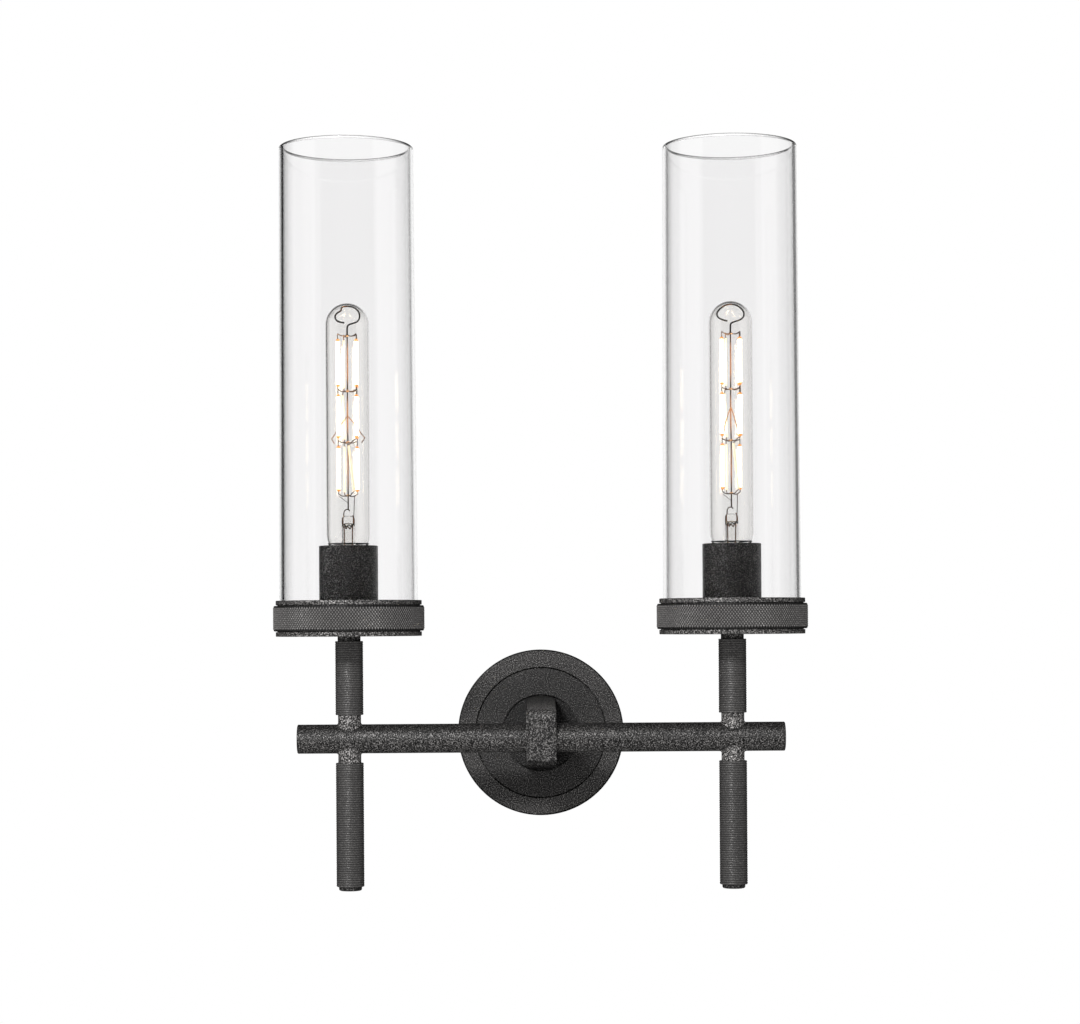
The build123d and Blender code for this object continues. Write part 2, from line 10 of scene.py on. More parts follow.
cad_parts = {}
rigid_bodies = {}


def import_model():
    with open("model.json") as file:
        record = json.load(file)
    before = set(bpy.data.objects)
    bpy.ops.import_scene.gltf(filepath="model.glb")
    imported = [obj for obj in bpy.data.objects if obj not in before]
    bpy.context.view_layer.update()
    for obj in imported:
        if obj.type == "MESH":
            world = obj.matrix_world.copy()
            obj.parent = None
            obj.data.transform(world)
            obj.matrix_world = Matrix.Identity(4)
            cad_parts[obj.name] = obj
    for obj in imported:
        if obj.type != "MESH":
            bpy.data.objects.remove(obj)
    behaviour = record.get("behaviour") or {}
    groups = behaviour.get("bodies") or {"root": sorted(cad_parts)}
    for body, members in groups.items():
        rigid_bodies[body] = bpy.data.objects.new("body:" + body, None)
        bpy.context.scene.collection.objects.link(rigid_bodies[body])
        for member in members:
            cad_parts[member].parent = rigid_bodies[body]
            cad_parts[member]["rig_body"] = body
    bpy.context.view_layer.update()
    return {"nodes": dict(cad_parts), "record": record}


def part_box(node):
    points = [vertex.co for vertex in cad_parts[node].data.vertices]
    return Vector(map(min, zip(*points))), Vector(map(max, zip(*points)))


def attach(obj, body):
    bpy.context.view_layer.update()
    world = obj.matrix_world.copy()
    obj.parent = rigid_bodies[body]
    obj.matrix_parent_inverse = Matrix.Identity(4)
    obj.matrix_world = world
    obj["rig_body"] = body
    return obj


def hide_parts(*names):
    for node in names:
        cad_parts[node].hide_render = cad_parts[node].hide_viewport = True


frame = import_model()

bl_info = {
    "name": "Two-lamp vanity light",
    "version": (1, 0, 0),
    "blender": (4, 5, 0),
    "location": "View3D > Sidebar > Vanity Light",
    "description": "Dresses a two-lamp wall light with ribs, knurling, glass, bulbs and finishes",
    "category": "Object",
}

slots = {part["node"]: part["material_slot"] for part in frame["record"]["subparts"]}
HANDS = ("left", "right")
MM = 0.001


# Settings


def length(name, description, default):
    """A size in metres."""
    return FloatProperty(name=name, description=description, default=default, unit="LENGTH", precision=5)


def colour(name, description, default):
    """A linear colour."""
    return FloatVectorProperty(
        name=name, description=description, default=default, subtype="COLOR", size=3, min=0.0, max=1.0
    )


def number(name, description, default, **kind):
    """A plain number, or one with a unit or a subtype."""
    return FloatProperty(name=name, description=description, default=default, **kind)


def count(name, description, default, least):
    """A number of like forms."""
    return IntProperty(name=name, description=description, default=default, min=least)


class VanityLightSizes(PropertyGroup):
    """Sizes of the forms that are added to the solids."""

    rib_pitch: length("Rib pitch", "Distance between the rings of a sleeve", 0.00168)
    rib_depth: length("Rib depth", "Height of a ring over its groove", 0.0003)
    sleeve_bore: length("Sleeve bore", "Inner radius of a sleeve", 0.00845)
    knurl_columns: count("Knurl columns", "Diamonds round a band", 156, 24)
    knurl_rows: count("Knurl rows", "Diamonds across a band", 6, 2)
    knurl_depth: length("Knurl depth", "Height of a diamond over its grooves", 0.0006)
    band_edge: length("Band edge", "Rounded edge of a band", 0.0007)
    band_bore: length("Band bore", "Inner radius of a band", 0.0534)
    cup_wall: length("Cup wall", "Wall of a shade cup", 0.0021)
    cup_floor: length("Cup floor", "Floor of a shade cup", 0.003)
    lip_round: length("Lip round", "Rounded edges of a shade cup", 0.0004)
    groove_height: length("Groove height", "Width of the grooves beside a band", 0.0006)
    groove_depth: length("Groove depth", "Depth of the grooves beside a band", 0.0011)
    glass_wall: length("Glass wall", "Wall of a glass cylinder", 0.003)
    glass_rim_radius: length("Glass rim radius", "Outer radius of a glass cylinder at its rim", 0.04915)
    glass_rim_round: length("Glass rim round", "Fire-polished round of the rim", 0.0013)
    # The rim band takes the edge glass, whose dark tint is painted shade.
    glass_rim_band: length("Glass rim band", "Height of the ground rim", 0.0019)
    bulb_wall: length("Bulb wall", "Wall of a bulb's envelope", 0.0011)
    bulb_neck_radius: length("Bulb neck radius", "Radius of the envelope in its base", 0.0125)
    bulb_neck_length: length("Bulb neck length", "Glass from the base to full diameter", 0.009)
    bulb_neck_round: length("Bulb neck round", "Round at the foot of the neck", 0.002)
    bulb_shoulder_round: length("Bulb shoulder round", "Round at the head of the neck", 0.004)
    base_skirt: length("Base skirt", "Plain metal over the screw thread", 0.0042)
    base_foot: length("Base foot", "Taper under the screw thread", 0.0022)
    thread_pitch: length("Thread pitch", "Rise of the screw base in one turn", 0.003629)
    thread_depth: length("Thread depth", "Crest over root of the screw base", 0.0009)
    filament_radius: length("Filament radius", "Radius of a coated filament", 0.0013)
    filament_end: length("Filament end", "Deeper coloured end of a filament", 0.0019)
    filament_flat: number("Filament flatness", "Thin side of a filament, as a share of its wide side", 0.6)
    filament_circle: length("Filament circle", "Radius of the circle that the filaments stand on", 0.0073)
    filament_tab: length("Filament tab", "Bare wire between a filament and its spider", 0.0027)
    wire_radius: length("Wire radius", "Radius of the centre wire", 0.0005)
    thin_wire_radius: length("Thin wire radius", "Radius of arms, supports and lead-in wires", 0.00035)
    bead_radius: length("Bead radius", "Radius of the bead at a spider", 0.00125)


class VanityLightColours(PropertyGroup):
    """Colours of the finishes."""

    iron: colour("Iron", "Ground of the textured iron finish", (0.040, 0.0385, 0.0375))
    zinc: colour("Zinc", "Plated steel", (0.56, 0.57, 0.58))
    earth_green: colour("Earth green", "Dyed ground screw", (0.05, 0.26, 0.09))
    rubber: colour("Rubber", "Gasket under the glass", (0.02, 0.02, 0.02))
    moulding: colour("Moulding", "Socket body and bulb insulator", (0.022, 0.021, 0.02))
    brass: colour("Brass", "Screw shell and contacts", (0.71, 0.47, 0.16))
    nickel: colour("Nickel", "Bulb's screw base", (0.62, 0.59, 0.54))
    insulation: colour("Insulation", "Cover of the lamp leads", (0.02, 0.02, 0.022))
    glass: colour("Glass", "Tint of the glass", (0.990, 0.987, 0.989))
    bulb_glass: colour("Bulb glass", "Tint of the bulbs' glass", (1.0, 0.995, 0.985))
    wire: colour("Wire", "Dark wire of the filament frame", (0.045, 0.034, 0.026))
    # The copper colour stands for bare copper and for the filaments' warm light painted on the frame; the
    # pale one is painted warm light alone.
    copper: colour("Copper", "Bare copper of the filament frame", (0.55, 0.25, 0.11))
    pale_warm_light: colour("Pale wire", "Centre wire between the spiders", (0.74, 0.62, 0.47))
    lead_wire: colour("Lead wire", "Copper-clad wire in the glass mount", (0.42, 0.19, 0.09))
    bead: colour("Bead", "Copper bead of a spider", (0.86, 0.55, 0.34))
    hot: colour("Hot filament", "Light of the bright filaments", (1.0, 0.86, 0.62))
    warm: colour("Warm filament", "Light of the dim filaments", (1.0, 0.88, 0.62))
    amber: colour("Filament end", "Coating at a filament's ends", (1.0, 0.40, 0.12))


class VanityLightStage(PropertyGroup):
    """Camera, lights and floor."""

    lens: number("Lens", "Focal length on a 36 mm sensor", 83.2, unit="CAMERA")
    camera_distance: length("Camera distance", "From the wall plane", 1.935)
    camera_height: length("Camera height", "Above the bar's axis", 0.085)
    camera_side: length("Camera side", "To the right of the canopy's centre", -0.008)
    camera_turn: number("Camera turn", "Swing to the right", radians(0.236), subtype="ANGLE")
    camera_roll: number("Camera roll", "Tilt of the picture", radians(0.36), subtype="ANGLE")
    camera_rise: number("Camera rise", "Upward shift of the picture", 0.1016)
    key_power: number("Key light", "Watts of the front left light", 34.0, unit="POWER")
    low_power: number("Low light", "Watts of the low front light", 25.0, unit="POWER")
    room: number("Room", "Strength of the room round the light", 1.0, min=0.0)
    floor_height: length("Floor height", "Level of the floor under the bar's axis", -0.5)
    floor_radius: length("Floor radius", "Size of the floor", 1.4)
    floor: colour("Floor", "Pale floor", (0.86, 0.86, 0.86))
    floor_glow: number("Floor glow", "Light that keeps the floor pale", 0.35, min=0.0)


def sizes():
    """The scene's sizes."""
    return bpy.context.scene.vanity_light_sizes


def colours():
    """The scene's colours."""
    return bpy.context.scene.vanity_light_colours


# Finishes


# Ways that a face can look or lie, along which light and shade are painted: the coordinate, its axis,
# and the values that count as 0 and 1.
WAYS = {
    "slope": ("Normal", "Z", -1.0, 1.0),
    "front": ("Normal", "Y", 0.0, -1.0),
    "reach": ("Object", "Y", 0.0, -0.125),
    "height": ("Object", "Z", 0.0, 0.1),
}


def scaled(tint, factor):
    """A colour made darker or lighter."""
    return tuple(min(1.0, channel * factor) for channel in tint)


def grey(tone):
    """A grey for a colour input."""
    return (tone, tone, tone, 1.0)


class Graph:
    """A node tree under construction; a value is a number, a colour or another node's output."""

    def __init__(self, tree):
        self.nodes = tree.nodes
        self.links = tree.links

    def fill(self, node, values):
        """Sets or links a node's inputs."""
        for socket, value in values.items():
            if isinstance(value, NodeSocket):
                self.links.new(value, node.inputs[socket])
            else:
                node.inputs[socket].default_value = value

    def add(self, kind, values=None, settings=None):
        """Adds a node with its inputs and settings."""
        node = self.nodes.new(kind)
        for key, value in (settings or {}).items():
            setattr(node, key, value)
        self.fill(node, values or {})
        return node

    def ramp(self, factor, *stops):
        """Colours over a factor, as (place, colour) stops."""
        node = self.add("ShaderNodeValToRGB", {"Fac": factor})
        band = node.color_ramp.elements
        while len(band) < len(stops):
            band.new(0.5)
        for stop, (place, tint) in zip(band, stops):
            stop.position = place
            stop.color = (*tint[:3], 1.0)
        return node.outputs["Color"]

    def tones(self, factor, stops):
        """Greys over a factor, as (place, tone) stops."""
        return self.ramp(factor, *((place, grey(tone)) for place, tone in stops))

    def span(self, value, low, high, start=0.0, end=1.0):
        """A value from one range laid on another."""
        values = {"Value": value, "From Min": low, "From Max": high, "To Min": start, "To Max": end}
        return self.add("ShaderNodeMapRange", values).outputs["Result"]

    def maths(self, operation, *values):
        """The result of one operation on some values."""
        node = self.add("ShaderNodeMath", dict(enumerate(values)), {"operation": operation})
        return node.outputs["Value"]

    def mix(self, share, first, second, blend="MIX"):
        """A share of the second colour over the first."""
        settings = {"data_type": "RGBA", "blend_type": blend}
        return self.add("ShaderNodeMix", {0: share, 6: first, 7: second}, settings).outputs[2]

    def multiply(self, first, second, share=1.0):
        """One colour darkened by another."""
        return self.mix(share, first, second, "MULTIPLY")

    def along(self, vector, axis):
        """One axis of a vector."""
        return self.add("ShaderNodeSeparateXYZ", {"Vector": vector}).outputs[axis]


class Finish(Graph):
    """A material under construction, on the piece's own coordinates."""

    def __init__(self, name):
        self.material = bpy.data.materials.new(name)
        self.material.use_nodes = True
        super().__init__(self.material.node_tree)
        self.shader = self.nodes["Principled BSDF"]
        self.own = self.add("ShaderNodeTexCoord").outputs
        self.place = self.own["Object"]

    def surface(self, values):
        """Sets or links the shader's inputs."""
        self.fill(self.shader, values)

    def noise(self, scale, detail=2.0, roughness=0.5):
        """Grain of so many cells to the metre."""
        values = {"Vector": self.place, "Scale": scale, "Detail": detail, "Roughness": roughness}
        return self.add("ShaderNodeTexNoise", values).outputs["Fac"]

    def attribute(self, name):
        """A share that the piece's own points carry."""
        return self.add("ShaderNodeAttribute", {}, {"attribute_name": name}).outputs["Fac"]

    def spread(self, grain, low, high):
        """A grain's usual range, spread between two numbers."""
        return self.span(grain, 0.3, 0.7, low, high)

    def shade(self, paint, way, stops):
        """Paints light and shade into a paint by where its faces look or lie."""
        source, axis, low, high = WAYS[way]
        share = self.span(self.along(self.own[source], axis), low, high)
        return self.multiply(paint, self.tones(share, stops))

    def bump(self, height, distance, strength=1.0):
        """Fine relief of a given height in metres."""
        values = {"Height": height, "Distance": distance, "Strength": strength}
        self.surface({"Normal": self.add("ShaderNodeBump", values).outputs["Normal"]})


def iron_finish(name, depth, speckle, grain_scale, relief, crest=0.0, **shades):
    """Dark iron paint with a sand grain of so many grains to the metre, with painted shade in its grooves
    and a painted highlight on its ridges.

    Shades are stops of painted light and shade along one of the ways that a face can look or lie.
    """
    ground = scaled(colours().iron, depth)
    finish = Finish(name)
    grain = finish.noise(grain_scale, 0.0)
    paint = finish.ramp(
        grain,
        (0.30, scaled(ground, max(0.1, 1.0 - 0.8 * speckle))),
        (0.50, ground),
        (0.62, scaled(ground, 1.0 + 1.2 * speckle)),
        (0.74, scaled(ground, 1.0 + 3.5 * speckle)),
    )
    # Painted shade in the grooves and a painted highlight on the ridges, by the crest share.
    if crest > 0.0:
        tones = finish.tones(finish.attribute("crest"), ((0.0, 1.0 - crest), (1.0, 1.0 + crest)))
        paint = finish.multiply(paint, tones)
    # Painted light and shade by where the faces look or lie.
    for way, stops in shades.items():
        paint = finish.shade(paint, way, stops)
    cloud = finish.noise(38.0, 2.0)
    tone = finish.ramp(cloud, (0.3, (0.94, 0.94, 0.95)), (0.7, (1.0, 1.0, 1.0)))
    finish.surface({
        "Base Color": finish.multiply(paint, tone),
        "Metallic": 0.3,
        "Roughness": finish.spread(grain, 0.58, 0.36),
        "IOR": 1.5,
    })
    finish.bump(grain, relief, 0.8)
    return finish.material


def plated_finish(name, tint, roughness, brush):
    """Plated or bare metal with light handling marks."""
    finish = Finish(name)
    marks = finish.noise(brush, 4.0, 0.6)
    finish.surface({
        "Base Color": finish.ramp(marks, (0.3, scaled(tint, 0.82)), (0.7, tint)),
        "Metallic": 1.0,
        "Roughness": finish.spread(marks, roughness * 1.25, roughness * 0.8),
    })
    finish.bump(marks, 0.00004, 0.4)
    return finish.material


def wire_finish(name, *tints):
    """Wire that runs from one colour to the next by its share of bare copper and painted warm light."""
    finish = Finish(name)
    stops = ((place / (len(tints) - 1), tint) for place, tint in enumerate(tints))
    paint = finish.ramp(finish.attribute("copper"), *stops)
    finish.surface({"Base Color": paint, "Metallic": 0.6, "Roughness": 0.38})
    return finish.material


def moulded_finish(name, tint, roughness, grain_scale):
    """Moulded plastic or rubber with a fine matte grain."""
    finish = Finish(name)
    grain = finish.noise(grain_scale, 2.0)
    finish.surface({
        "Base Color": finish.ramp(grain, (0.3, scaled(tint, 0.8)), (0.7, scaled(tint, 1.25))),
        "Roughness": finish.spread(grain, roughness * 1.1, roughness * 0.9),
    })
    finish.bump(grain, 0.00008, 0.5)
    return finish.material


def glass_finish(name, tint, edge, outer=(), clarity=1.0):
    """Clear glass with painted shade; the stops give how its tint darkens from straight on, 0, to edge on,
    1.

    Outer stops paint more shade on the side of each glass that is away from the other lamp. Less clarity
    lets a dark painted edge show more.
    """
    finish = Finish(name)
    facing = finish.add("ShaderNodeLayerWeight", {"Blend": 0.5}).outputs["Facing"]
    # The tint darkens towards edge on: painted shade for the dark edges of the glass.
    clear = finish.ramp(facing, (0.0, tint), *((place, scaled(tint, tone)) for place, tone in edge))
    # Painted shade, deeper on the outer side of each glass.
    if outer:
        away = finish.maths("ABSOLUTE", finish.along(finish.place, "X"))
        share = finish.span(away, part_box("right_bulb_glass")[0].x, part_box("right_glass_shade")[1].x)
        clear = finish.multiply(clear, finish.tones(facing, outer), share)
    finish.surface({
        "Base Color": clear,
        "Roughness": 0.0,
        "IOR": 1.47,
        "Transmission Weight": clarity,
    })
    return finish.material


def lit_finish(name, tint, strength):
    """Coating that glows, a little uneven along its length."""
    finish = Finish(name)
    flecks = finish.noise(900.0, 2.0)
    light = finish.ramp(flecks, (0.3, scaled(tint, 0.86)), (0.7, tint))
    finish.surface({
        "Base Color": light,
        "Roughness": 0.6,
        "Emission Color": light,
        "Emission Strength": strength,
    })
    return finish.material


# Copies of the one iron paint, with the values that iron_finish takes: each depth makes its part darker
# or lighter to paint the light and shade that fall on it, and the shades and crests paint more of it.
IRONS = {
    "textured_iron": dict(depth=0.68, speckle=1.1, grain_scale=1200.0, relief=0.0003),
    # Painted shade: a near-black rounded rim edge and a darker side wall.
    "canopy_iron": dict(
        depth=1.0, speckle=1.1, grain_scale=1200.0, relief=0.0003,
        front=((0.02, 0.75), (0.08, 0.022), (0.97, 0.022), (0.998, 1.0)),
    ),
    # Painted shade on faces that turn away from the front, such as the walls of the gaps.
    "disc_iron": dict(
        depth=0.66, speckle=1.1, grain_scale=1200.0, relief=0.0003, front=((0.5, 0.05), (0.97, 1.0)),
    ),
    # Painted shade on the bar's upper side and a little painted light on its underside.
    "bright_iron": dict(
        depth=0.85, speckle=1.6, grain_scale=1150.0, relief=0.0004,
        slope=((0.3, 1.1), (0.6, 1.0), (0.85, 0.66)),
    ),
    # Painted highlight on the arm's top and rounded edges, painted shade on its underside and towards the
    # hub.
    "arm_iron": dict(
        depth=0.58, speckle=1.5, grain_scale=1150.0, relief=0.0004,
        slope=((0.05, 0.2), (0.4, 0.4), (0.5, 1.0), (0.8, 0.9), (0.95, 1.2), (0.985, 1.9), (0.995, 11.0)),
        front=((0.15, 0.4), (0.3, 1.9), (0.85, 1.9), (0.97, 1.45)),
        reach=((0.162, 0.31), (0.175, 0.12), (0.55, 0.4), (0.92, 1.0)),
    ),
    # Painted shade on the upper stems under the cups.
    "stem_iron": dict(
        depth=2.0, speckle=1.5, grain_scale=1000.0, relief=0.0006, height=((0.4, 1.0), (0.6, 0.35)),
    ),
    "cup_iron": dict(depth=1.4, speckle=1.5, grain_scale=1100.0, relief=0.0004),
    # The crest paints shade in the grooves and highlights on the ridges.
    "ribbed_iron": dict(depth=1.35, speckle=0.3, grain_scale=1500.0, relief=0.00012, crest=0.55),
    "knurled_iron": dict(depth=3.2, speckle=0.25, grain_scale=1500.0, relief=0.00012, crest=0.9),
    "dark_iron": dict(depth=0.85, speckle=1.2, grain_scale=1100.0, relief=0.0003),
}

# Colour, roughness and grains to the metre of the plated metals and the mouldings.
PLATED = {
    "zinc_steel": ("zinc", 0.34, 240.0),
    "earth_green": ("earth_green", 0.4, 300.0),
    "brass": ("brass", 0.26, 260.0),
    "nickel": ("nickel", 0.2, 320.0),
    "lead_wire": ("lead_wire", 0.35, 1500.0),
    "bead": ("bead", 0.3, 900.0),
}
MOULDED = {
    "gasket_rubber": ("rubber", 0.75, 1400.0),
    "socket_moulding": ("moulding", 0.5, 1100.0),
    "lead_insulation": ("insulation", 0.45, 900.0),
}

# Glasses, with their colour and the values that glass_finish takes; the edge and outer stops paint
# the dark edges of each glass as shade.
GLASS = {
    "shade_glass": ("glass", dict(
        edge=((0.50, 1.0), (0.64, 0.8), (0.75, 1.0)),
        outer=(
            (0.63, 1.0), (0.655, 0.012), (0.69, 0.03), (0.73, 0.15), (0.78, 0.36), (0.85, 0.7), (0.91, 1.0),
        ),
    )),
    "shade_glass_inside": ("glass", dict(edge=((0.50, 1.0), (0.70, 0.8), (0.84, 0.35)))),
    # A near-black tint edge on, with less clarity: the rim's dark arcs, painted as shade.
    "shade_glass_edge": ("glass", dict(edge=((0.3, 0.75), (0.55, 0.06), (1.0, 0.03)), clarity=0.5)),
    "bulb_glass": ("bulb_glass", dict(edge=((0.45, 1.0), (0.72, 0.8), (0.95, 0.8)))),
    "bulb_glass_inside": ("bulb_glass", dict(edge=((0.45, 1.0), (0.76, 0.8), (0.9, 0.2)))),
}

# Colour and strength of what glows.
LIT = {"filament": ("hot", 9.0), "filament_warm": ("warm", 0.95), "filament_end": ("amber", 0.9)}

finishes = {}


def make_finishes():
    """Makes every finish once, by the record's slot or by a name of its own."""
    tints = colours()
    for name, values in IRONS.items():
        finishes[name] = iron_finish(name, **values)
    for make, rows in ((plated_finish, PLATED), (moulded_finish, MOULDED), (lit_finish, LIT)):
        for name, (tint, *values) in rows.items():
            finishes[name] = make(name, getattr(tints, tint), *values)
    for name, (tint, values) in GLASS.items():
        finishes[name] = glass_finish(name, getattr(tints, tint), **values)
    finishes["mount_wire"] = wire_finish("mount_wire", tints.wire, tints.copper, tints.pale_warm_light)


# Modelling helpers


# Points nearer to each other than this, in metres, are made one.
SAME_POINT = 1e-6

# Points nearer to a level than this, in metres, count as on it.
SAME_LEVEL = 1e-7


def shape(bm, sharpest=35.0):
    """Closes seams, turns faces outwards and shades all but the sharp edges smoothly."""
    bmesh.ops.remove_doubles(bm, verts=bm.verts, dist=SAME_POINT)
    bmesh.ops.recalc_face_normals(bm, faces=bm.faces)
    for face in bm.faces:
        face.smooth = True
    for edge in bm.edges:
        edge.smooth = edge.calc_face_angle(0.0) < radians(sharpest)


def draw_line(bm, points):
    """Draws an open line through (radius, height) points and gives its corners."""
    corners = [bm.verts.new((radius, 0.0, height)) for radius, height in points]
    for pair in zip(corners, corners[1:]):
        bm.edges.new(pair)
    return corners


def round_corner(bm, corner, radius, segments):
    """Rounds one corner of a line."""
    bmesh.ops.bevel(
        bm, geom=[corner], offset=radius, segments=segments, profile=0.5, affect="VERTICES", material=-1
    )


def turned(outline, rounds, steps, segments=4):
    """Outline of (radius, height) points with some corners rounded, spun about Z.

    An outline that starts on the axis ends on it too, and any other is closed.
    """
    bm = bmesh.new()
    corners = draw_line(bm, outline)
    if outline[0][0] > 0.0:
        bm.edges.new((corners[-1], corners[0]))
    for place, radius in rounds.items():
        round_corner(bm, corners[place], radius, segments)
    spin(bm, steps)
    return bm


def spin(bm, steps):
    """Spins all of a bmesh's lines once round Z."""
    bmesh.ops.spin(
        bm, geom=bm.verts[:] + bm.edges[:], cent=(0, 0, 0), axis=(0, 0, 1), dvec=(0, 0, 0), angle=tau,
        steps=steps, use_merge=True,
    )


def wires(runs):
    """Round wires along smooth lines, as one bmesh; a run is its points and its radius."""
    bm = bmesh.new()
    for points, radius in runs:
        line = bpy.data.curves.new("wire_line", "CURVE")
        line.dimensions = "3D"
        line.bevel_depth = radius
        line.bevel_resolution = 3
        line.use_fill_caps = True
        line.resolution_u = 8
        spline = line.splines.new("NURBS")
        spline.points.add(len(points) - 1)
        for knot, point in zip(spline.points, points):
            knot.co = (*point, 1.0)
        spline.order_u = 3
        spline.use_endpoint_u = True
        carrier = bpy.data.objects.new("wire_line", line)
        mesh = bpy.data.meshes.new_from_object(carrier)
        bm.from_mesh(mesh)
        bpy.data.objects.remove(carrier)
        bpy.data.curves.remove(line)
        bpy.data.meshes.remove(mesh)
    return bm


def join(bm, other, index=None):
    """Adds another bmesh, under one finish's index if that is given."""
    if index is not None:
        for face in other.faces:
            face.material_index = index
    mesh = bpy.data.meshes.new("joined")
    other.to_mesh(mesh)
    other.free()
    bm.from_mesh(mesh)
    bpy.data.meshes.remove(mesh)


def cut(bm, level, way=1.0, clear=False):
    """Cuts a bmesh at a level, and may clear what lies beyond it."""
    bmesh.ops.bisect_plane(
        bm, geom=bm.verts[:] + bm.edges[:] + bm.faces[:], dist=SAME_LEVEL, plane_co=(0, 0, level),
        plane_no=(0, 0, way), clear_outer=clear,
    )


def new_edges(made):
    """Edges of an operator's result."""
    return [item for item in made if isinstance(item, bmesh.types.BMEdge)]


def new_verts(made):
    """Vertices of an operator's result."""
    return [item for item in made if isinstance(item, bmesh.types.BMVert)]


def next_ring(bm, edges):
    """Extrudes a ring of edges and gives the new ring's edges and vertices."""
    made = bmesh.ops.extrude_edge_only(bm, edges=edges)["geom"]
    verts = new_verts(made)
    kept = set(verts)
    ring = [edge for edge in new_edges(made) if edge.verts[0] in kept and edge.verts[1] in kept]
    return ring, verts


def lay_ring(verts, radius, level):
    """Lays a ring of vertices on a circle about Z."""
    for vert in verts:
        reach = Vector((vert.co.x, vert.co.y)).normalized() * radius
        vert.co = (reach.x, reach.y, level)


def lamp_axis(hand):
    """Place of a lamp's axis on the plan, where its bulb turns."""
    joints = {joint["name"]: joint for joint in frame["record"]["behaviour"]["joints"]}
    return tuple(joints[f"{hand}_bulb_turn"]["pos_m"][:2])


def glass_faces(bm, dome, rim=inf):
    """Marks a hollow glass's outside 0, its inside 1, and its flat edges and all over its rim 2."""
    for face in bm.faces:
        middle = face.calc_center_median()
        outwards = face.normal.dot(middle - Vector((0.0, 0.0, min(middle.z, dome))))
        flat = middle.z > rim or middle.z < dome and abs(face.normal.z) > 0.2
        face.material_index = 2 if flat else 0 if outwards > 0.0 else 1


def add_piece(name, bm, node, *names, even=False):
    """Makes a finished piece on its lamp's axis, to stand for a solid, with its body, slot and finishes."""
    hand = node.split("_")[0]
    bmesh.ops.translate(bm, verts=bm.verts, vec=(*lamp_axis(hand), 0.0))
    mesh = bpy.data.meshes.new(name)
    bm.to_mesh(mesh)
    bm.free()
    for finish in names or (slots[node],):
        mesh.materials.append(finishes[finish])
    piece = bpy.data.objects.new(name, mesh)
    bpy.context.scene.collection.objects.link(piece)
    if even:
        weights = piece.modifiers.new("even_shading", "WEIGHTED_NORMAL")
        weights.keep_sharp = True
    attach(piece, frame["nodes"][node]["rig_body"])
    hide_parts(node)


# Pieces


# Solids that have a copy of the iron paint of their own, with their part's painted light and shade,
# named without their hand.
SPECIAL_FINISHES = {
    "canopy_shell": "canopy_iron",
    "canopy_face_disc": "disc_iron",
    "arm_bracket": "arm_iron",
    "cross_bar": "bright_iron",
    "upper_stem": "stem_iron",
    "lower_stem": "stem_iron",
    "shade_cup": "cup_iron",
    "socket_cup": "dark_iron",
}


def finish_of(node):
    """Finish of a solid: its slot's, or one of its own."""
    return finishes[SPECIAL_FINISHES.get(node.removeprefix("left_").removeprefix("right_"), slots[node])]


class VANITY_OT_paint_solids(Operator):
    """Give every solid of the light its finish"""

    bl_idname = "vanity.paint_solids"
    bl_label = "Paint the solids"

    def execute(self, context):
        make_finishes()
        for node, solid in frame["nodes"].items():
            finish = finish_of(node)
            if solid.material_slots:
                for slot in solid.material_slots:
                    slot.material = finish
            else:
                solid.data.materials.append(finish)
        return {"FINISHED"}


class VANITY_OT_sleeves(Operator):
    """Turn the ribbed sleeves of both stems"""

    bl_idname = "vanity.sleeves"
    bl_label = "Ribbed sleeves"

    def execute(self, context):
        for hand in HANDS:
            for level in ("upper", "lower"):
                self.sleeve(f"{hand}_{level}_sleeve")
        return {"FINISHED"}

    def sleeve(self, node):
        """One sleeve: an outline with rounded rings, spun."""
        size = sizes()
        low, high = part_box(node)
        root = (high.x - low.x) / 2 - size.rib_depth
        ribs = round((high.z - low.z) / size.rib_pitch)
        bm = bmesh.new()
        crest = bm.verts.layers.float.new("crest")
        bore_foot = bm.verts.new((size.sleeve_bore, 0.0, low.z))
        foot = bm.verts.new((root, 0.0, low.z))
        head = bm.verts.new((root, 0.0, high.z))
        bore_head = bm.verts.new((size.sleeve_bore, 0.0, high.z))
        side = bm.edges.new((foot, head))
        for pair in ((head, bore_head), (bore_head, bore_foot), (bore_foot, foot)):
            bm.edges.new(pair)
        bmesh.ops.subdivide_edges(bm, edges=[side], cuts=4 * ribs - 1)
        row = [vert for vert in bm.verts if vert.co.x > size.sleeve_bore + SAME_POINT]
        row.sort(key=lambda vert: vert.co.z)
        shoulder = 0.6 * size.rib_depth
        bmesh.ops.translate(bm, verts=row[2::4], vec=(size.rib_depth, 0.0, 0.0))
        bmesh.ops.translate(bm, verts=row[1::2], vec=(shoulder, 0.0, 0.0))
        # Crest share of each point, which the ribbed iron paints as shade in the grooves and light on the
        # ridges.
        for vert in row:
            vert[crest] = (vert.co.x - root) / size.rib_depth
        spin(bm, steps=72)
        shape(bm, sharpest=60.0)
        add_piece(f"{node}_ribs", bm, node, "ribbed_iron")


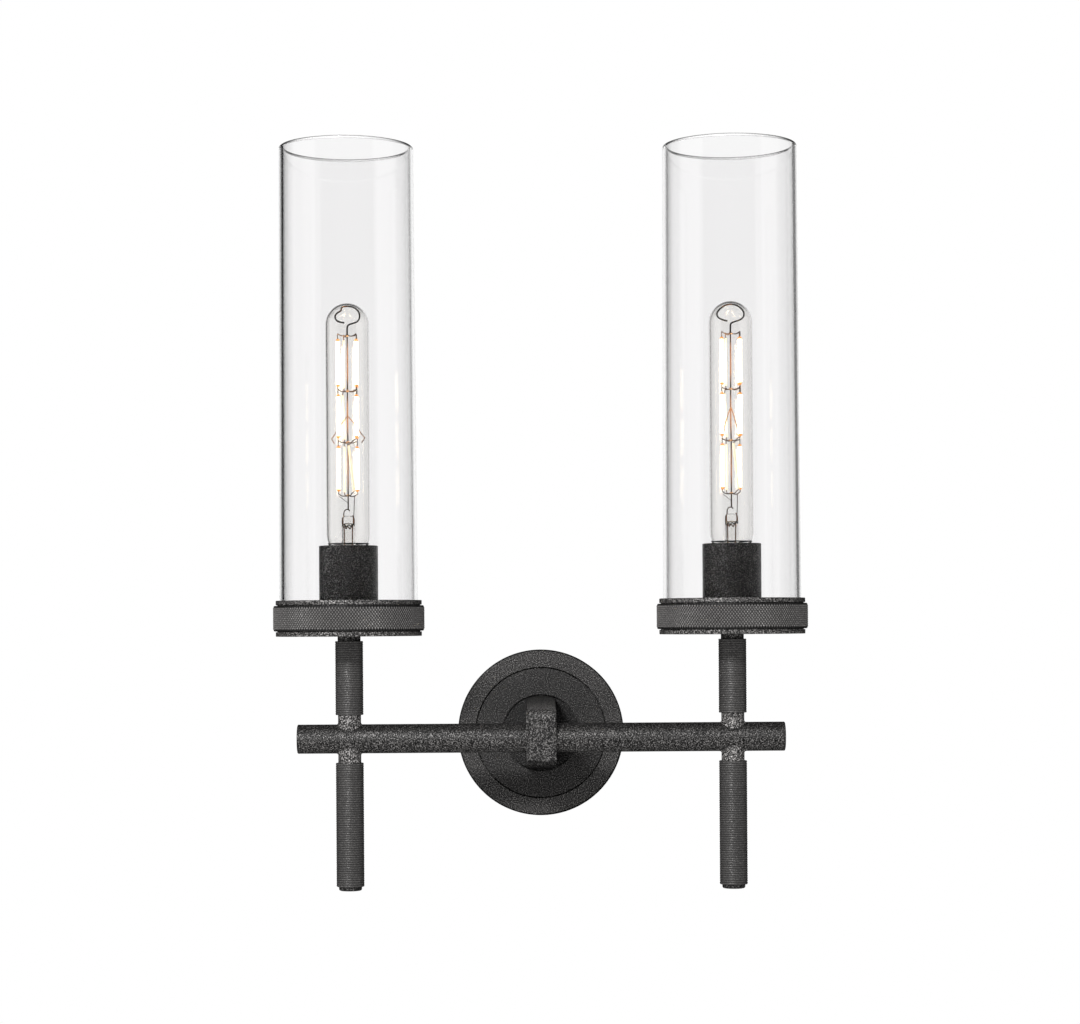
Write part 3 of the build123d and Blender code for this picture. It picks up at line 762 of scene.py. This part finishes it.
class VANITY_OT_bands(Operator):
    """Cut the diamond knurl of both bands"""

    bl_idname = "vanity.bands"
    bl_label = "Knurled bands"

    def execute(self, context):
        for hand in HANDS:
            self.band(f"{hand}_knurled_band")
        return {"FINISHED"}

    def band(self, node):
        """One band: a ring of rows whose even points are drawn out into diamonds."""
        size = sizes()
        low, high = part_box(node)
        peak = (high.x - low.x) / 2
        root = peak - size.knurl_depth
        columns, rows = 2 * size.knurl_columns, 2 * size.knurl_rows
        start = low.z + size.band_edge
        step = (high.z - low.z - 2 * size.band_edge) / rows
        bm = bmesh.new()
        crest = bm.verts.layers.float.new("crest")
        bmesh.ops.create_circle(bm, segments=columns, radius=root)
        bmesh.ops.translate(bm, verts=bm.verts, vec=(0.0, 0.0, start))
        bottom = bm.edges[:]
        ring = bottom
        for row in range(rows):
            ring, verts = next_ring(bm, ring)
            bmesh.ops.translate(bm, verts=verts, vec=(0.0, 0.0, step))
        peaks, grooves = [], []
        for vert in bm.verts:
            column = round(atan2(vert.co.y, vert.co.x) / tau * columns)
            row = round((vert.co.z - start) / step)
            drawn = 0 < row < rows and (column + row) % 2 == 0
            (peaks if drawn else grooves).append(vert)
        bmesh.ops.scale(bm, verts=peaks, vec=(peak / root, peak / root, 1.0))
        bmesh.ops.connect_verts(bm, verts=grooves)
        # Crest share of the diamonds, which the knurled iron paints as shade in the grooves and light on
        # the peaks.
        for vert in peaks:
            vert[crest] = 1.0
        for face in bm.faces:
            face.smooth = False
        ends = []
        for edges, way, base in ((bottom, -1.0, start), (ring, 1.0, high.z - size.band_edge)):
            for turn in (30.0, 60.0, 90.0):
                edges, verts = next_ring(bm, edges)
                radius = root - size.band_edge * (1.0 - cos(radians(turn)))
                level = base + way * size.band_edge * sin(radians(turn))
                lay_ring(verts, radius, level)
            edges, verts = next_ring(bm, edges)
            lay_ring(verts, size.band_bore, level)
            ends += edges
        bmesh.ops.bridge_loops(bm, edges=ends)
        bmesh.ops.recalc_face_normals(bm, faces=bm.faces)
        add_piece(f"{node}_diamonds", bm, node, "knurled_iron")


class VANITY_OT_cups(Operator):
    """Turn the dishes that carry the glass, with a groove on each side of the band"""

    bl_idname = "vanity.cups"
    bl_label = "Shade cups"

    def execute(self, context):
        size = sizes()
        for hand in HANDS:
            node = f"{hand}_shade_cup"
            low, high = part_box(node)
            band_low, band_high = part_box(f"{hand}_knurled_band")
            pipe_low, pipe_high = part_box(f"{hand}_lamp_pipe")
            side, hole = (high.x - low.x) / 2, (pipe_high.x - pipe_low.x) / 2
            inside, neck = side - size.cup_wall, side - size.groove_depth
            under, over = band_low.z - size.groove_height, band_high.z + size.groove_height
            outline = [
                (hole, low.z), (side, low.z),
                (side, under), (neck, under), (neck, band_low.z), (side, band_low.z),
                (side, band_high.z), (neck, band_high.z), (neck, over), (side, over),
                (side, high.z), (inside, high.z),
                (inside, low.z + size.cup_floor), (hole, low.z + size.cup_floor),
            ]
            bm = turned(outline, {corner: size.lip_round for corner in (1, 10, 11)}, steps=144)
            shape(bm)
            add_piece(f"{node}_turned", bm, node, "cup_iron")
        return {"FINISHED"}


class VANITY_OT_shades(Operator):
    """Draw the two open glass cylinders"""

    bl_idname = "vanity.shades"
    bl_label = "Glass shades"

    def execute(self, context):
        size = sizes()
        wall = size.glass_wall
        for hand in HANDS:
            node = f"{hand}_glass_shade"
            low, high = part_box(node)
            foot, rim = (high.x - low.x) / 2, size.glass_rim_radius
            band = high.z - size.glass_rim_band
            near = rim + (foot - rim) * size.glass_rim_band / (high.z - low.z)
            outline = [
                (foot, low.z), (near, band), (rim, high.z),
                (rim - wall, high.z), (near - wall, band), (foot - wall, low.z),
            ]
            rounds = {corner: size.glass_rim_round for corner in (0, 2, 3, 5)}
            bm = turned(outline, rounds, steps=160, segments=6)
            shape(bm)
            glass_faces(bm, high.z, band)
            names = ("shade_glass", "shade_glass_inside", "shade_glass_edge")
            add_piece(f"{node}_drawn", bm, node, *names, even=True)
        return {"FINISHED"}


class VANITY_OT_bulb_glasses(Operator):
    """Blow the envelopes of both bulbs"""

    bl_idname = "vanity.bulb_glasses"
    bl_label = "Bulb envelopes"

    def execute(self, context):
        size = sizes()
        for hand in HANDS:
            node = f"{hand}_bulb_glass"
            low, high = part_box(node)
            base_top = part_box(f"{hand}_bulb_base")[1].z
            side = (high.x - low.x) / 2
            neck = size.bulb_neck_radius
            dome = high.z - side
            shoulder = base_top + size.bulb_neck_length
            flank = [(neck, low.z), (neck, base_top), (side, shoulder), (side, dome)]
            turns = [radians(turn) for turn in range(6, 90, 6)]
            arc = [(side * cos(turn), dome + side * sin(turn)) for turn in turns]
            bm = bmesh.new()
            corners = draw_line(bm, flank + arc + [(0.0, high.z)])
            round_corner(bm, corners[2], size.bulb_shoulder_round, segments=8)
            round_corner(bm, corners[1], size.bulb_neck_round, segments=4)
            spin(bm, steps=96)
            bmesh.ops.remove_doubles(bm, verts=bm.verts, dist=SAME_POINT)
            bmesh.ops.recalc_face_normals(bm, faces=bm.faces)
            bmesh.ops.solidify(bm, geom=bm.faces[:], thickness=size.bulb_wall)
            shape(bm)
            glass_faces(bm, dome)
            names = ("bulb_glass", "bulb_glass_inside", "bulb_glass")
            add_piece(f"{node}_blown", bm, node, *names, even=True)
        return {"FINISHED"}


# Rise of the rolled thread over one pitch, as shares of its depth.
THREAD_WAVE = (0.0, 0.15, 0.5, 0.85, 1.0, 0.85, 0.5, 0.15, 0.0)

# Dark ring round the neck of a bulb's glass, as (radius, rise) in millimetres over the screw base.
NECK_RING = ((14.4, 5.5), (14.9, 5.5), (15.1, 6.3), (14.7, 6.3))


class VANITY_OT_bulb_bases(Operator):
    """Roll the screw bases of both bulbs"""

    bl_idname = "vanity.bulb_bases"
    bl_label = "Bulb screw bases"

    def execute(self, context):
        for hand in HANDS:
            self.base(hand)
        return {"FINISHED"}

    def base(self, hand):
        """One base: a rolled thread that closes on the glass and on the insulator."""
        size = sizes()
        node = f"{hand}_bulb_base"
        low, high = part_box(node)
        crest = (high.x - low.x) / 2
        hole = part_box(f"{hand}_bulb_insulator")[1].x - lamp_axis(hand)[0]
        skirt, foot = high.z - size.base_skirt, low.z + size.base_foot
        skirt_rings = (
            (crest - 0.4 * MM, skirt + 0.8 * MM),
            (crest - 0.2 * MM, high.z),
            (size.bulb_neck_radius, high.z),
        )
        foot_rings = (
            (crest - 0.9 * MM, foot - 0.8 * MM),
            (hole + 0.8 * MM, low.z + 0.4 * MM),
            (hole, low.z),
        )
        bm = self.thread(crest, low.z)
        cut(bm, skirt, clear=True)
        cut(bm, foot, way=-1.0, clear=True)
        for level, rings in ((skirt, skirt_rings), (foot, foot_rings)):
            edges = [
                edge for edge in bm.edges
                if edge.is_boundary and abs(edge.verts[0].co.z - level) < 0.01 * MM
            ]
            for radius, height in rings:
                edges, verts = next_ring(bm, edges)
                lay_ring(verts, radius, height)
        neck = [(radius * MM, high.z + rise * MM) for radius, rise in NECK_RING]
        join(bm, turned(neck, {}, steps=72), 1)
        shape(bm, sharpest=50.0)
        add_piece(f"{node}_rolled", bm, node, "nickel", "socket_moulding")

    def thread(self, crest, low):
        """A thread that starts one pitch under a level and climbs past the base."""
        size = sizes()
        turns, steps = 7, 48
        root = crest - size.thread_depth
        bm = bmesh.new()
        ends = [bm.verts.new((root, 0.0, low - size.thread_pitch)), bm.verts.new((root, 0.0, low))]
        bmesh.ops.subdivide_edges(bm, edges=[bm.edges.new(ends)], cuts=len(THREAD_WAVE) - 2)
        for vert, lift in zip(sorted(bm.verts, key=lambda vert: vert.co.z), THREAD_WAVE):
            bmesh.ops.translate(bm, verts=[vert], vec=(lift * size.thread_depth, 0.0, 0.0))
        bmesh.ops.spin(
            bm, geom=bm.verts[:] + bm.edges[:], cent=(0, 0, 0), axis=(0, 0, 1),
            dvec=(0, 0, size.thread_pitch / steps), angle=turns * tau, steps=turns * steps,
        )
        bmesh.ops.remove_doubles(bm, verts=bm.verts, dist=SAME_POINT)
        return bm


class VANITY_OT_bulb_mounts(Operator):
    """Press the glass mounts inside both bulbs"""

    bl_idname = "vanity.bulb_mounts"
    bl_label = "Bulb glass mounts"

    def execute(self, context):
        for hand in HANDS:
            node = f"{hand}_bulb_mount"
            low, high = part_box(node)
            flare = (high.x - low.x) / 2
            column, wall = 4.85 * MM, 1.1 * MM
            waist, roof = low.z + 8 * MM, high.z - 5.5 * MM
            outline = [
                (0.0, high.z),
                (column, high.z),
                (column, waist),
                (flare, low.z + 1 * MM),
                (flare, low.z),
                (flare - wall, low.z),
                (column - wall, waist),
                (column - wall, roof),
                (0.0, roof),
            ]
            rounds = {1: 2.6 * MM, 2: 4 * MM, 6: 4 * MM, 7: 2.4 * MM}
            bm = turned(outline, rounds, steps=64, segments=6)
            pinch = [vert for vert in bm.verts if vert.co.z > high.z - 9 * MM]
            bmesh.ops.scale(bm, verts=pinch, vec=(1.0, 0.8, 1.0))
            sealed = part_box(f"{hand}_bulb_base")[1].z + 3 * MM
            bore, side = 1.2 * MM, 1.7 * MM
            exhaust = [(bore, low.z), (side, low.z), (side, sealed), (bore, sealed)]
            join(bm, turned(exhaust, {2: 0.2 * MM}, steps=32, segments=3))
            shape(bm, sharpest=60.0)
            add_piece(f"{node}_pressed", bm, node)
        return {"FINISHED"}


# Heights of the tiers of filaments, in millimetres, from the lowest; their shares place the spiders.
TIERS = (39.5, 38.2, 41.2)


def spider_levels(hand):
    """Heights of the four wire spiders, from the filaments' box."""
    size = sizes()
    low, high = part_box(f"{hand}_led_filaments")
    foot, head = low.z - size.filament_tab, high.z + size.filament_tab
    places = [sum(TIERS[:tier]) / sum(TIERS) for tier in range(len(TIERS) + 1)]
    return [foot + place * (head - foot) for place in places]


# Where the four filaments of a tier stand round the centre wire, in degrees.
FILAMENT_ANGLES = (25.0, 115.0, 205.0, 295.0)

# Extra turn of some arms, by spider and filament, and of some filaments' ends, by tier and filament.
ARM_TURNS = {(1, 3): 12.0, (2, 3): 40.0, (3, 3): 40.0}
LEANS = {(0, 3): (16.0, -17.0), (1, 1): (-5.0, 11.0), (1, 3): (40.0, 40.0), (2, 3): (40.0, 40.0)}

# Filaments that show their thin side, by tier and filament.
EDGE_ON = ((0, 1), (0, 3), (1, 1), (2, 1))

# How far an arm sags, in millimetres, in turn.
SAGS = (0.9, 0.5, 0.7, 0.4)

# Wires at the top of the mount, in millimetres from it.
HOOK = (
    (-3.3, 0.0, 0.0), (-3.3, 0.0, 2.2), (-2.6, 0.0, 4.2), (-0.6, 0.0, 5.0), (0.9, -0.3, 4.4),
    (0.9, -0.5, 3.5),
)
LEAD = ((4.0, 0.4, -1.0), (4.2, 0.4, 3.0), (4.4, 0.6, 9.0), (4.5, 1.6, 14.4))
TIE = ((-6.3, -2.6, 14.3), (-3.5, -1.2, 12.2), (-0.3, -0.3, 9.6))

# Wire pressed into the mount, in millimetres from its top.
PRESSED_WIRE = (
    (-3.9, 0.0, -8.0), (-2.4, -0.4, -5.6), (-1.2, 0.4, -8.6), (0.4, -0.4, -5.4), (1.8, 0.4, -8.4),
    (2.9, -0.4, -5.0), (3.9, 0.0, -7.4),
)

# Turn in degrees and lift in millimetres of a bulb's side supports, and their (reach, rise) points.
SUPPORTS = {"left": (-20.0, 0.0), "right": (62.0, 5.0)}
SUPPORT_LINE = ((0.3, 19.0), (4.5, 14.6), (8.4, 8.8), (12.6, 3.7), (13.3, 2.9), (12.9, 2.3), (10.9, -0.6))

# Crown loops, as (side, drop) points in millimetres under the top of the glass, and their turn in degrees.
CROWNS = {
    "left": (
        (-0.1, 17.9), (0.6, 16.0), (3.8, 14.8), (7.6, 13.6), (9.6, 10.4), (9.2, 6.4), (6.9, 3.6),
        (3.2, 2.0), (-0.6, 1.9), (-3.6, 2.7), (-4.4, 4.0), (-4.2, 5.6), (-7.4, 7.2), (-9.2, 9.8),
        (-8.0, 12.9), (-4.6, 14.2), (-2.2, 14.4),
    ),
    "right": (
        (-0.1, 17.9), (0.6, 16.0), (3.8, 14.8), (8.4, 13.4), (11.0, 10.4), (10.4, 6.8), (7.4, 3.8),
        (3.6, 2.1), (-1.0, 2.1), (-4.8, 3.4), (-8.6, 6.4), (-10.6, 9.6), (-9.4, 12.4), (-5.4, 14.2),
        (-2.4, 14.6),
    ),
}
CROWN_TURN = 14.0


def filament_ends(tier, filament, levels):
    """Foot and head of one filament; a few lean a little, as hand-mounted ones do."""
    size = sizes()
    lean = LEANS.get((tier, filament), (0.0, 0.0))
    ends = []
    for turn, level in zip(lean, (levels[tier] + size.filament_tab, levels[tier + 1] - size.filament_tab)):
        angle = radians(FILAMENT_ANGLES[filament] + turn)
        ends.append(Vector((size.filament_circle * cos(angle), size.filament_circle * sin(angle), level)))
    return ends


class VANITY_OT_filament_frames(Operator):
    """Bend the wire frames that carry the filaments"""

    bl_idname = "vanity.filament_frames"
    bl_label = "Filament frames"

    def execute(self, context):
        for hand in HANDS:
            self.wire_frame(hand)
        return {"FINISHED"}

    def wire_frame(self, hand):
        """One frame: centre wire, spiders, supports, crown and leads, with beads at the spiders."""
        size = sizes()
        node = f"{hand}_filament_frame"
        levels = spider_levels(hand)
        mount_foot, mount_top = [corner.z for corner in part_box(f"{hand}_bulb_mount")]
        dome_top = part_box(f"{hand}_bulb_glass")[1].z
        thin = size.thin_wire_radius
        runs = [(self.centre(levels, mount_top), size.wire_radius)]
        for place, level in enumerate(levels):
            for filament in range(len(FILAMENT_ANGLES)):
                runs += self.arm(place, level, filament, levels, thin)
        runs += [(points, thin) for points in self.supports(hand, levels[1])]
        runs.append((self.crown(hand, levels[-1], dome_top), size.wire_radius * 1.25))
        for points, share in ((HOOK, 1.15), (LEAD, 0.8), (TIE, 0.55)):
            runs.append((self.from_level(points, mount_top), thin * share))
        bm = wires(runs)
        self.mark_copper_and_warm_light(bm, levels)
        join(bm, wires([(self.from_level(PRESSED_WIRE, mount_top), thin * 1.3)]), 0)
        curl = [(-x * 0.95, 0.5 - y, z - 1.6) for x, y, z in PRESSED_WIRE]
        join(bm, wires([(self.from_level(curl, mount_top), thin * 1.2)]), 1)
        lead_ins = [self.lead_in(side, mount_foot, mount_top) for side in (-1.0, 1.0)]
        join(bm, wires([(points, thin * 1.3) for points in lead_ins]), 1)
        for level in levels:
            bead = bmesh.new()
            bmesh.ops.create_uvsphere(bead, u_segments=20, v_segments=12, radius=size.bead_radius)
            bmesh.ops.scale(bead, verts=bead.verts, vec=(1.15, 1.15, 0.75))
            bmesh.ops.translate(bead, verts=bead.verts, vec=(0.0, 0.0, level))
            join(bm, bead, 2)
        shape(bm, sharpest=60.0)
        add_piece(f"{node}_bent", bm, node, "mount_wire", "lead_wire", "bead")

    def mark_copper_and_warm_light(self, bm, levels):
        """Marks the share of bare copper and of painted warm light: little at the spiders, but for the top
        one's left, more between; the crown and the top spider's left carry painted warm light from the
        filaments.
        """
        copper = bm.verts.layers.float.new("copper")
        for vert in bm.verts:
            reach = vert.co.xy.length
            away = min(abs(vert.co.z - level) for level in levels)
            over = vert.co.z - levels[-1]
            # Above the top spider, and on its left: painted warm light from the filaments.
            if over > 2 * MM:
                vert[copper] = 0.42 if over > 17 * MM and -6 * MM < vert.co.x < 1 * MM else 0.0
            elif over > -2 * MM and vert.co.x < -0.5 * MM:
                vert[copper] = 0.6
            elif reach < 1 * MM and vert.co.z > levels[0]:
                vert[copper] = min(0.3, max(0.0, (away - 3 * MM) / (30 * MM)))
            elif away < 4 * MM and reach < 9 * MM:
                vert[copper] = 0.08
            else:
                vert[copper] = 0.3 if vert.co.z > levels[0] + 4 * MM else 0.05

    def from_level(self, points, level):
        """Points in millimetres above a level, in metres."""
        return [(x * MM, y * MM, level + z * MM) for x, y, z in points]

    def lead_in(self, side, mount_foot, mount_top):
        """Points of a lead-in wire, which runs up through the mount."""
        return [
            (side * 3.0 * MM, 0.0, mount_foot + 1 * MM),
            (side * 2.6 * MM, 0.0, mount_top - 14 * MM),
            (side * 3.3 * MM, 0.0, mount_top + 0.4 * MM),
        ]

    def centre(self, levels, mount_top):
        """Centre wire, not quite straight."""
        points = [(0.0, 0.0, mount_top + 4.4 * MM)]
        for level, shift in zip(levels, (0.0, 0.15, -0.1, 0.0)):
            points += [(shift * MM, 0.0, level), (-shift * MM, shift * MM, level + 12 * MM)]
        return points[:-1]

    def arm(self, place, level, filament, levels, thin):
        """An arm of a spider and the pins that hold the filaments' ends."""
        size = sizes()
        angle = radians(FILAMENT_ANGLES[filament] + ARM_TURNS.get((place, filament), 0.0))
        reach = Vector((cos(angle), sin(angle), 0.0))
        sag = SAGS[(place + filament) % len(SAGS)] * MM
        tip = reach * size.filament_circle + Vector((0.0, 0.0, level + 1.1 * MM))
        points = [
            Vector((0.0, 0.0, level)),
            reach * 0.35 * size.filament_circle + Vector((0.0, 0.0, level - sag)),
            reach * 0.75 * size.filament_circle + Vector((0.0, 0.0, level - 0.5 * sag)),
            tip,
        ]
        held = []
        if place > 0:
            held.append(filament_ends(place - 1, filament, levels)[1])
        if place < len(levels) - 1:
            held.append(filament_ends(place, filament, levels)[0])
        pins = [([tip, (tip + end) / 2 + 0.4 * MM * reach, end], thin * 0.9) for end in held]
        return [(points, thin), *pins]

    def supports(self, hand, level):
        """Two side wires that brace the frame against the envelope, turned as each bulb has them."""
        turn, lift = SUPPORTS[hand]
        made = []
        for angle in (turn, turn + 180.0):
            way = Vector((cos(radians(angle)), sin(radians(angle)), 0.0))
            foot = Vector((0.0, 0.0, level + lift * MM))
            line = [foot + reach * MM * way + Vector((0.0, 0.0, rise * MM)) for reach, rise in SUPPORT_LINE]
            made.append(line)
        return made

    def crown(self, hand, level, dome_top):
        """Open loop under the dome."""
        turn = radians(CROWN_TURN)
        points = [(0.0, 0.0, level)]
        for side, drop in CROWNS[hand]:
            points.append((side * MM * cos(turn), side * MM * sin(turn), dome_top - drop * MM))
        return points


class VANITY_OT_filaments(Operator):
    """Coat the filaments of both bulbs"""

    bl_idname = "vanity.filaments"
    bl_label = "Filaments"

    def execute(self, context):
        for hand in HANDS:
            node = f"{hand}_led_filaments"
            levels = spider_levels(hand)
            whole = bmesh.new()
            for tier in range(len(TIERS)):
                for filament in range(len(FILAMENT_ANGLES)):
                    foot, head = filament_ends(tier, filament, levels)
                    self.filament(whole, foot, head, warm=(tier, filament) in EDGE_ON)
            shape(whole, sharpest=60.0)
            add_piece(f"{node}_lit", whole, node, "filament", "filament_warm", "filament_end")
        return {"FINISHED"}

    def filament(self, whole, foot, head, warm):
        """One coated rod with rounded, deeper coloured ends; a warm one is flat and shows its thin side."""
        size = sizes()
        radius = size.filament_radius
        reach = (head - foot).length
        plain = reach / 2 - size.filament_end
        bm = bmesh.new()
        bmesh.ops.create_cone(bm, cap_ends=True, segments=16, radius1=radius, radius2=radius, depth=reach)
        cut(bm, -plain)
        cut(bm, plain)
        rims = [
            edge for edge in bm.edges
            if all(abs(abs(vert.co.z) - reach / 2) < SAME_LEVEL for vert in edge.verts)
        ]
        bmesh.ops.bevel(
            bm, geom=rims, offset=0.7 * radius, segments=3, profile=0.5, affect="EDGES", material=-1
        )
        for face in bm.faces:
            end = abs(face.calc_center_median().z) > plain
            face.material_index = 1 if warm else 2 if end else 0
        if warm:
            bmesh.ops.scale(bm, verts=bm.verts, vec=(size.filament_flat, 1.0, 1.0))
        turn = Vector((0.0, 0.0, 1.0)).rotation_difference(head - foot).to_matrix().to_4x4()
        bmesh.ops.transform(bm, verts=bm.verts, matrix=Matrix.Translation((foot + head) / 2) @ turn)
        join(whole, bm)


# Place that the lights look at, over the middle of the floor.
CENTRE = Vector((0.0, -0.1, 0.0))

# Place and extent of each light, and whether mirrors show it, which leaves a streak on glass.
LIGHTS = {
    "key_light": ((-0.7, -2.15, 1.05), (0.6, 0.25), True),
    "low_light": ((-0.3, -2.1, -0.7), (0.8, 0.3), False),
}

# Tones of the room's two sides, as (place, tone) stops from behind the camera, 0, to behind the wall, 1.
LEFT_SIDE = (
    (0.19, 0.06), (0.21, 0.8), (0.59, 0.8), (0.63, 0.05), (0.905, 0.05), (0.92, 0.5), (0.94, 0.85),
    (0.97, 1.0),
)
RIGHT_SIDE = (
    (0.19, 0.06), (0.21, 0.7), (0.53, 0.7), (0.57, 0.4), (0.82, 1.0), (0.9, 1.0), (0.925, 0.4),
    (0.935, 0.8), (0.97, 1.0),
)

# Where the sides show in mirrors, in front and, in glass alone, behind, and the tones overhead.
AHEAD = ((0.2, 1.0), (0.22, 0.4), (0.6, 0.4), (0.66, 0.0))
BEHIND = ((0.9, 0.0), (0.93, 1.0))
OVERHEAD = ((0.1, 0.2), (0.6, 0.05))

# Light on matte paint: how it fades towards the wall, and its tones from left, 0, to right, 1.
FRONT_FADE = ((0.25, 0.0), (0.55, 1.0))
FRONT_TONES = ((0.0, 1.6), (0.5, 1.1), (1.0, 0.9))

# Light that comes through glass: how it fades towards the camera, and its tones from left to right.
INSIDE_FADE = ((0.3, 1.0), (0.45, 0.0))
INSIDE_TONES = ((0.0, 5.0), (0.5, 0.2), (1.0, 0.3))


class VANITY_OT_stage(Operator):
    """Set the floor, the lights and the camera"""

    bl_idname = "vanity.stage"
    bl_label = "Stage"

    def execute(self, context):
        settings = context.scene.vanity_light_stage
        context.scene.view_settings.view_transform = "Standard"
        self.floor(context, settings)
        self.surroundings(context, settings)
        self.light(context, "key_light", settings.key_power)
        self.light(context, "low_light", settings.low_power)
        self.camera(context, settings)
        return {"FINISHED"}

    def floor(self, context, settings):
        """A pale round floor."""
        bm = bmesh.new()
        bmesh.ops.create_circle(bm, cap_ends=True, segments=96, radius=settings.floor_radius)
        bmesh.ops.translate(bm, verts=bm.verts, vec=(CENTRE.x, CENTRE.y, settings.floor_height))
        mesh = bpy.data.meshes.new("floor")
        bm.to_mesh(mesh)
        bm.free()
        mesh.materials.append(lit_finish("pale_floor", settings.floor, settings.floor_glow))
        floor = bpy.data.objects.new("floor", mesh)
        floor.visible_diffuse = False
        floor.visible_glossy = False
        context.scene.collection.objects.link(floor)

    def surroundings(self, context, settings):
        """White to look at and through, and a dim room that mirrors and matte paint see."""
        world = bpy.data.worlds.new("studio")
        world.use_nodes = True
        graph = Graph(world.node_tree)
        path = graph.add("ShaderNodeLightPath").outputs
        room = graph.nodes["Background"]
        graph.fill(room, {"Color": self.room(graph, path), "Strength": settings.room})
        white = graph.add("ShaderNodeBackground", {"Color": grey(1.0)})
        bounces = graph.maths("ADD", path["Diffuse Depth"], path["Glossy Depth"])
        seen = graph.maths("MAXIMUM", path["Is Camera Ray"], path["Is Transmission Ray"])
        straight = graph.maths("MULTIPLY", seen, graph.maths("LESS_THAN", bounces, 0.5))
        values = {"Fac": straight, 1: room.outputs["Background"], 2: white.outputs["Background"]}
        both = graph.add("ShaderNodeMixShader", values)
        graph.links.new(both.outputs["Shader"], graph.nodes["World Output"].inputs["Surface"])
        context.scene.world = world

    def room(self, graph, path):
        """Colour of the room by the way that a ray leaves and by what it has met."""
        way = graph.add("ShaderNodeTexCoord").outputs["Generated"]
        x, y, z = [graph.along(way, axis) for axis in "XYZ"]
        across = graph.span(x, -1.0, 1.0)
        depth = graph.span(y, -1.0, 1.0)
        up = graph.span(z, 0.35, 0.6)
        down = graph.span(z, -0.15, -0.4)
        through = graph.span(path["Transmission Depth"], 0.0, 1.0)
        matte = graph.span(path["Diffuse Depth"], 0.0, 1.0)

        right = graph.span(x, -0.12, 0.0)
        boxes = graph.mix(right, graph.tones(depth, LEFT_SIDE), graph.tones(depth, RIGHT_SIDE))
        behind = graph.maths("MULTIPLY", graph.tones(depth, BEHIND), path["Is Singular Ray"])
        shown = graph.maths("MAXIMUM", graph.tones(depth, AHEAD), graph.maths("MAXIMUM", behind, through))
        mirrored = graph.mix(shown, grey(0.02), boxes)
        mirrored = graph.mix(up, mirrored, graph.tones(depth, OVERHEAD))
        mirrored = graph.mix(down, mirrored, grey(0.03))

        front = graph.mix(graph.tones(depth, FRONT_FADE), graph.tones(across, FRONT_TONES), grey(0.04))
        inside = graph.mix(graph.tones(depth, INSIDE_FADE), graph.tones(across, INSIDE_TONES), grey(0.02))
        fill = graph.mix(through, front, inside)
        fill = graph.mix(up, fill, grey(0.3))
        fill = graph.mix(down, fill, grey(0.7))
        return graph.mix(matte, mirrored, fill)

    def light(self, context, name, power):
        """A soft rectangular light that looks at the lamps."""
        place, extent, mirrored = LIGHTS[name]
        data = bpy.data.lights.new(name, "AREA")
        data.shape = "RECTANGLE"
        data.size, data.size_y = extent
        data.energy = power
        light = bpy.data.objects.new(name, data)
        light.location = place
        light.rotation_euler = (CENTRE - Vector(place)).to_track_quat("-Z", "Y").to_euler()
        light.visible_transmission = False
        light.visible_glossy = mirrored
        context.scene.collection.objects.link(light)

    def camera(self, context, settings):
        """A level camera in front of the light, with the picture shifted up."""
        data = bpy.data.cameras.new("camera")
        data.sensor_width = 36.0
        data.lens = settings.lens
        data.shift_y = settings.camera_rise
        camera = bpy.data.objects.new("camera", data)
        camera.location = (settings.camera_side, -settings.camera_distance, settings.camera_height)
        camera.rotation_euler = (radians(90.0), settings.camera_roll, -settings.camera_turn)
        context.scene.collection.objects.link(camera)
        context.scene.camera = camera


class VANITY_PT_panel(Panel):
    """Sidebar panel with every step"""

    bl_idname = "VANITY_PT_panel"
    bl_label = "Vanity Light"
    bl_space_type = "VIEW_3D"
    bl_region_type = "UI"
    bl_category = "Vanity Light"

    def draw(self, context):
        for operator in operators:
            self.layout.operator(operator.bl_idname)
        for group in (
            context.scene.vanity_light_sizes,
            context.scene.vanity_light_colours,
            context.scene.vanity_light_stage,
        ):
            box = self.layout.box()
            for key in group.__annotations__:
                box.prop(group, key)


operators = (
    VANITY_OT_paint_solids,
    VANITY_OT_sleeves,
    VANITY_OT_bands,
    VANITY_OT_cups,
    VANITY_OT_shades,
    VANITY_OT_bulb_glasses,
    VANITY_OT_bulb_bases,
    VANITY_OT_bulb_mounts,
    VANITY_OT_filament_frames,
    VANITY_OT_filaments,
    VANITY_OT_stage,
)
classes = (VanityLightSizes, VanityLightColours, VanityLightStage, *operators, VANITY_PT_panel)


def register():
    """Registers the classes and the scene's settings."""
    for item in classes:
        bpy.utils.register_class(item)
    bpy.types.Scene.vanity_light_sizes = PointerProperty(type=VanityLightSizes)
    bpy.types.Scene.vanity_light_colours = PointerProperty(type=VanityLightColours)
    bpy.types.Scene.vanity_light_stage = PointerProperty(type=VanityLightStage)


def unregister():
    """Removes the settings and the classes."""
    del bpy.types.Scene.vanity_light_sizes
    del bpy.types.Scene.vanity_light_colours
    del bpy.types.Scene.vanity_light_stage
    for item in reversed(classes):
        bpy.utils.unregister_class(item)


def main():
    """Builds the light, step by step."""
    register()
    for operator in operators:
        group, step = operator.bl_idname.split(".")
        getattr(getattr(bpy.ops, group), step)()


if __name__ == "__main__":
    main()
